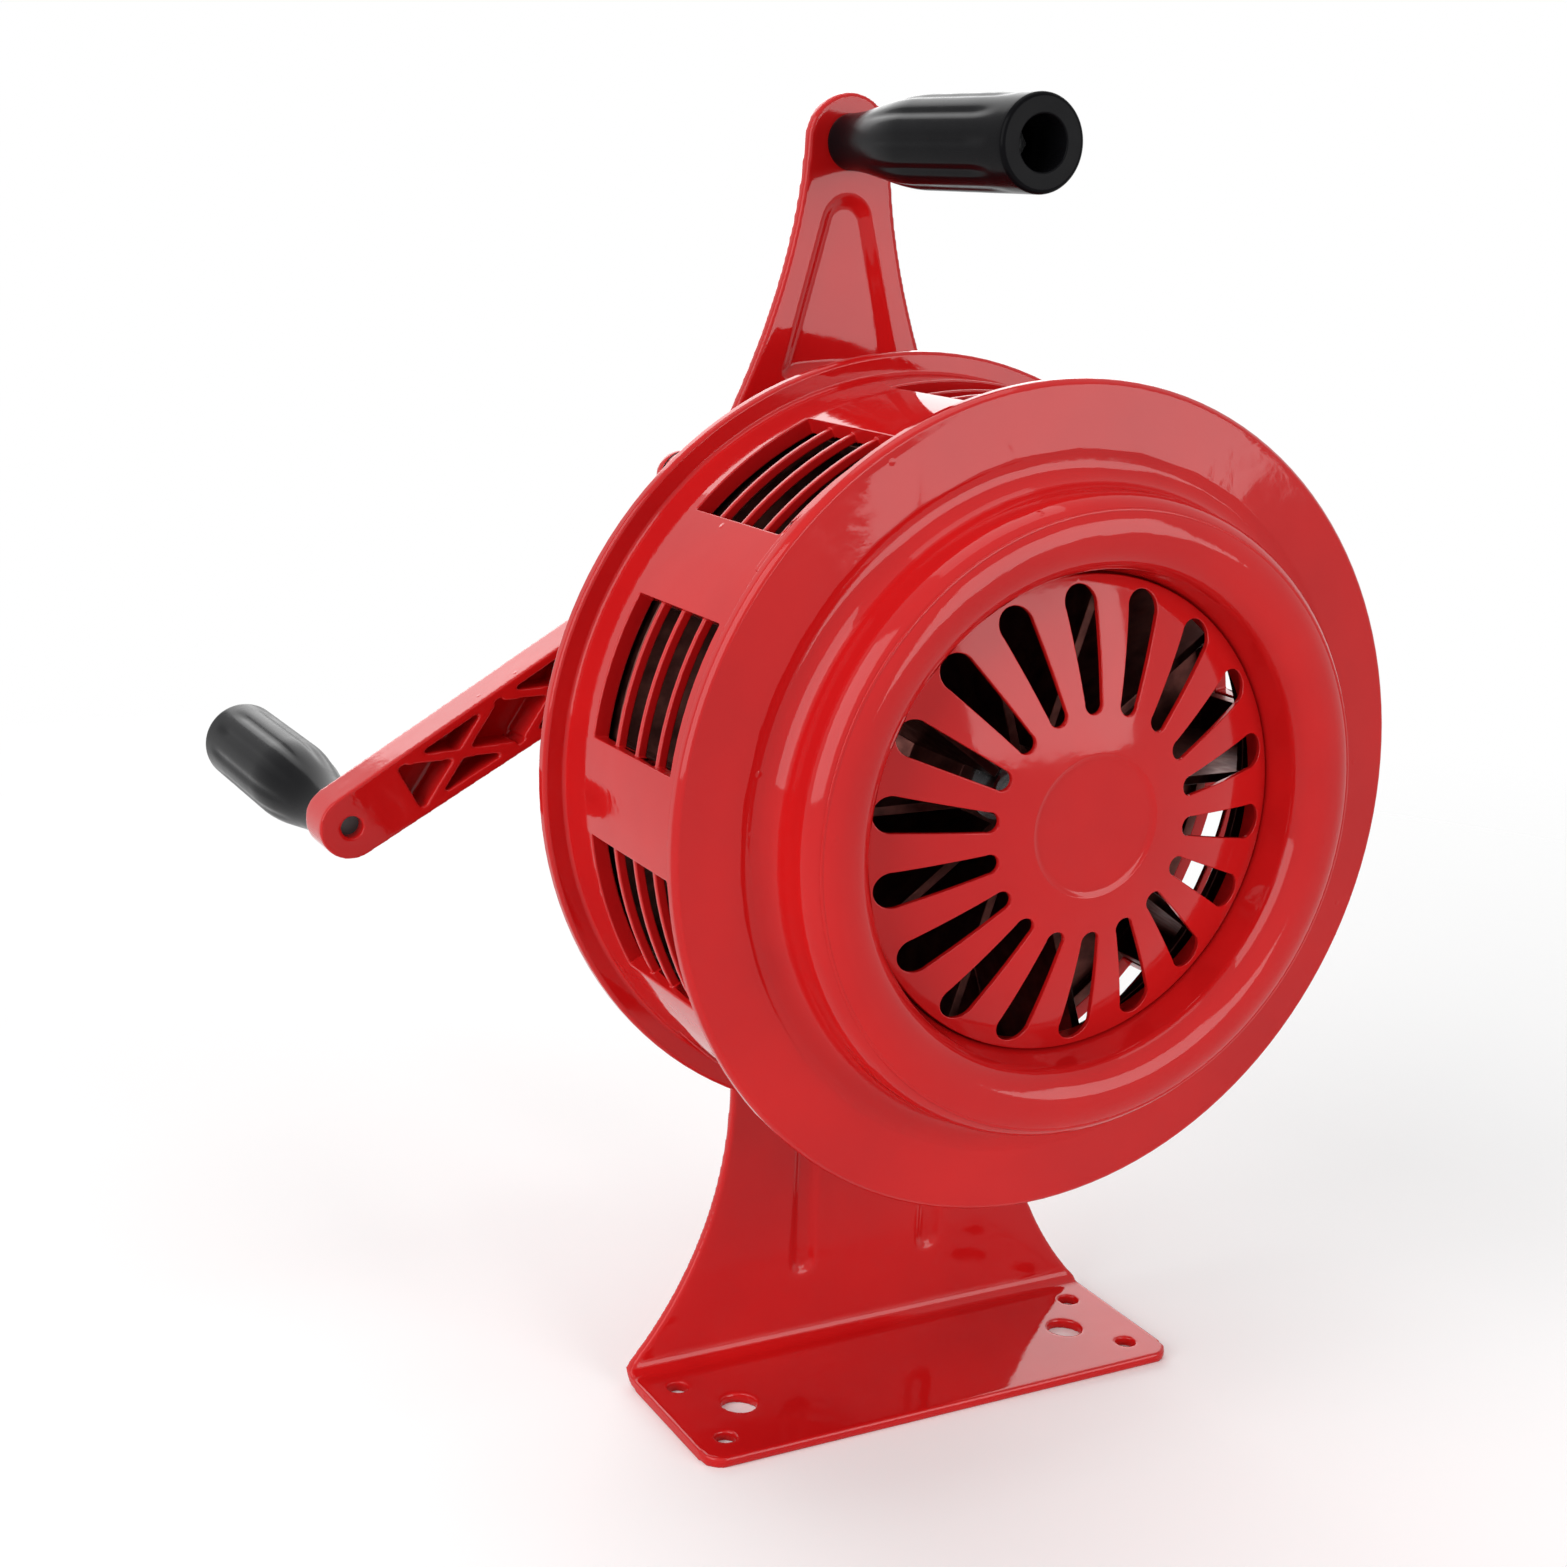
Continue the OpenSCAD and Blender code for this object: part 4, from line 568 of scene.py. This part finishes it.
def add_collar_line():
    """The fine raised line that runs round the outside of the collar's crest."""
    turns = [2 * math.pi * k / LINE_STEPS for k in range(LINE_STEPS + 1)]
    rows = [(LINE_R + LINE_HALF * math.cos(turn), LINE_Y - LINE_RISE * math.sin(turn)) for turn in turns]
    add_extra("collar_line", lathe(rows, LINE_TURNS, 0.0, AXIS_Z), "siren_body", "red_casting")


GRIP_LEN, GRIP_R, GRIP_NECK_R, GRIP_SWELL = 92.0, 12.0, 7.6, 42.0
GRIP_BORE_R, GRIP_BORE_D, GRIP_HOLE_R = 6.75, 21.0, 3.06
ROOT_EDGE, END_EDGE, MOUTH_EDGE, MOUTH_CURVE = 0.4, 1.3, 0.5, 0.15
GRIP_TURNS, GRIP_STEPS, END_STEPS = 160, 64, 5
FLUTES, FLUTE_DEPTH, FLUTE_START, FLUTE_END = 10, 0.55, 14.0, 86.0
FLUTE_RISE, FLUTE_FALL, FLUTE_NARROWNESS = 26.0, 12.0, 3
CARRY_GRIP_RISE, CRANK_GRIP_ROOT_Y = 158.3, 102.3


def grip_radius(y):
    """The grip's radius without its flutes: a slim neck that swells to the full width."""
    if y >= GRIP_SWELL:
        return GRIP_R
    return GRIP_NECK_R + (GRIP_R - GRIP_NECK_R) * (1 - math.cos(math.pi * y / GRIP_SWELL)) / 2


def flute(angle, y):
    """Depth of the soft flutes, which fade out at both ends of the grip."""
    fade_in = ease(y, FLUTE_START, FLUTE_START + FLUTE_RISE)
    fade_out = 1 - ease(y, FLUTE_END - FLUTE_FALL, FLUTE_END)
    wave = 0.5 + 0.5 * math.cos(FLUTES * (angle - math.pi / FLUTES))
    return FLUTE_DEPTH * (fade_in * fade_out) * wave ** FLUTE_NARROWNESS


def fluted_ring(y):
    return lambda angle: grip_radius(y) - flute(angle, y)


def grip_rows():
    """A grip's rings from the root along its outside to the end, and back through bore and screw hole."""
    side_end = GRIP_LEN - END_EDGE
    rows = [(GRIP_HOLE_R, 0.0), (GRIP_NECK_R - ROOT_EDGE, 0.0), (GRIP_NECK_R, ROOT_EDGE)]
    for k in range(1, GRIP_STEPS + 1):
        y = ROOT_EDGE + (side_end - ROOT_EDGE) * k / GRIP_STEPS
        rows.append((fluted_ring(y), y))
    for k in range(1, END_STEPS + 1):
        turn = math.pi / 2 * k / END_STEPS
        rows.append((GRIP_R - END_EDGE + END_EDGE * math.cos(turn), side_end + END_EDGE * math.sin(turn)))
    rows.append((GRIP_BORE_R + MOUTH_EDGE, GRIP_LEN))
    rows.append((GRIP_BORE_R + MOUTH_CURVE, GRIP_LEN - MOUTH_CURVE))
    rows.append((GRIP_BORE_R, GRIP_LEN - MOUTH_EDGE))
    rows.append((GRIP_BORE_R, GRIP_LEN - GRIP_BORE_D))
    rows.append((GRIP_HOLE_R, GRIP_LEN - GRIP_BORE_D))
    rows.append((GRIP_HOLE_R, 0.0))
    return rows


def add_grip(node, name, x, z, root_y, way):
    """A moulded grip that runs from its root towards +Y or -Y."""
    rows = [(radius, root_y + way * y) for radius, y in grip_rows()]
    even_normals(dress(node, name, lathe(rows, GRIP_TURNS, x, z)))


def add_grips():
    add_grip("carry_grip", "moulded_carry_grip", 0.0, AXIS_Z + CARRY_GRIP_RISE, COVER_FRONT_Y, way=-1)
    crank_grip_x, _, crank_grip_z = JOINT_PLACE["crank_grip_spin"]
    add_grip("crank_grip", "moulded_crank_grip", crank_grip_x / MM, crank_grip_z / MM, CRANK_GRIP_ROOT_Y, way=1)


# Stage

FLOOR_R, FLOOR_SIDES, FLOOR_COLOUR, FLOOR_GLOW = 3.0, 96, grey(0.93), 0.1
FADE_START, FADE_END = 0.25, 0.9
WORLD_LIGHT, WORLD_WHITE = 0.26, 1.0
WHITE = grey(1.0)


def floor_finish():
    """A pale ground that fades into the white world, and that the camera sees a little brighter."""
    tree = Tree("floor")
    ground = tree.add("ShaderNodeBsdfDiffuse")
    ground.inputs["Color"].default_value = FLOOR_COLOUR
    path = tree.add("ShaderNodeLightPath")
    glow = tree.add("ShaderNodeEmission")
    tree.link(tree.calc("MULTIPLY", path.outputs["Is Camera Ray"], FLOOR_GLOW), glow.inputs["Strength"])
    pale = tree.add("ShaderNodeAddShader")
    tree.link(ground.outputs["BSDF"], pale.inputs[0])
    tree.link(glow.outputs["Emission"], pale.inputs[1])
    clear = tree.add("ShaderNodeBsdfTransparent")
    distance = tree.add("ShaderNodeVectorMath", operation="LENGTH")
    tree.link(tree.place, distance.inputs[0])
    fade = tree.add("ShaderNodeMixShader")
    tree.link(tree.span(distance.outputs["Value"], FADE_START, FADE_END), fade.inputs["Fac"])
    tree.link(pale.outputs["Shader"], fade.inputs[1])
    tree.link(clear.outputs["BSDF"], fade.inputs[2])
    tree.link(fade.outputs["Shader"], tree.output.inputs["Surface"])
    return tree.material


def add_floor():
    bpy.ops.mesh.primitive_circle_add(vertices=FLOOR_SIDES, radius=FLOOR_R, fill_type="NGON")
    floor = bpy.context.object
    floor.name = "floor"
    floor.data.materials.append(floor_finish())


def add_world():
    """Pale studio light, which the camera, glossy and clear surfaces see as plain white."""
    world = bpy.data.worlds.new("studio")
    bpy.context.scene.world = world
    world.use_nodes = True
    tree = world.node_tree
    light = tree.nodes["Background"]
    light.inputs["Color"].default_value = WHITE
    light.inputs["Strength"].default_value = WORLD_LIGHT
    white = tree.nodes.new("ShaderNodeBackground")
    white.inputs["Color"].default_value = WHITE
    white.inputs["Strength"].default_value = WORLD_WHITE
    path = tree.nodes.new("ShaderNodeLightPath")
    seen = path.outputs["Is Camera Ray"]
    for name in ("Is Glossy Ray", "Is Transmission Ray"):
        either = tree.nodes.new("ShaderNodeMath")
        either.operation = "MAXIMUM"
        tree.links.new(seen, either.inputs[0])
        tree.links.new(path.outputs[name], either.inputs[1])
        seen = either.outputs[0]
    mix = tree.nodes.new("ShaderNodeMixShader")
    tree.links.new(seen, mix.inputs["Fac"])
    tree.links.new(light.outputs["Background"], mix.inputs[1])
    tree.links.new(white.outputs["Background"], mix.inputs[2])
    tree.links.new(mix.outputs["Shader"], tree.nodes["World Output"].inputs["Surface"])


# Lamps

LAMP_AIM = Vector((0, 0, 0.17))


def add_lamp(name, place, size, watts):
    """A soft box that faces the middle of the siren."""
    data = bpy.data.lights.new(name, "AREA")
    data.shape = "RECTANGLE"
    data.size, data.size_y = size
    data.energy = watts
    lamp = put(name, data)
    lamp.location = place
    lamp.rotation_euler = facing(Vector(place), LAMP_AIM)


def add_lights():
    add_lamp("left_box", (-1.35, -0.35, 0.80), (1.3, 1.4), watts=19)
    add_lamp("front_box", (0.62, -1.34, 0.49), (0.95, 0.75), watts=9.2)
    add_lamp("top_box", (0.0, 0.1, 1.6), (1.0, 1.0), watts=5)
    add_lamp("rear_box", (0.5, 1.4, 0.9), (1.6, 1.3), watts=13.5)


bpy.context.scene.view_settings.view_transform = "Standard"
add_camera()
add_world()
add_lights()
add_floor()
paint_nodes()
smooth_nodes()
add_stand()
add_cover()
add_horn()
add_crank_arm()
add_collar_line()
add_grips()
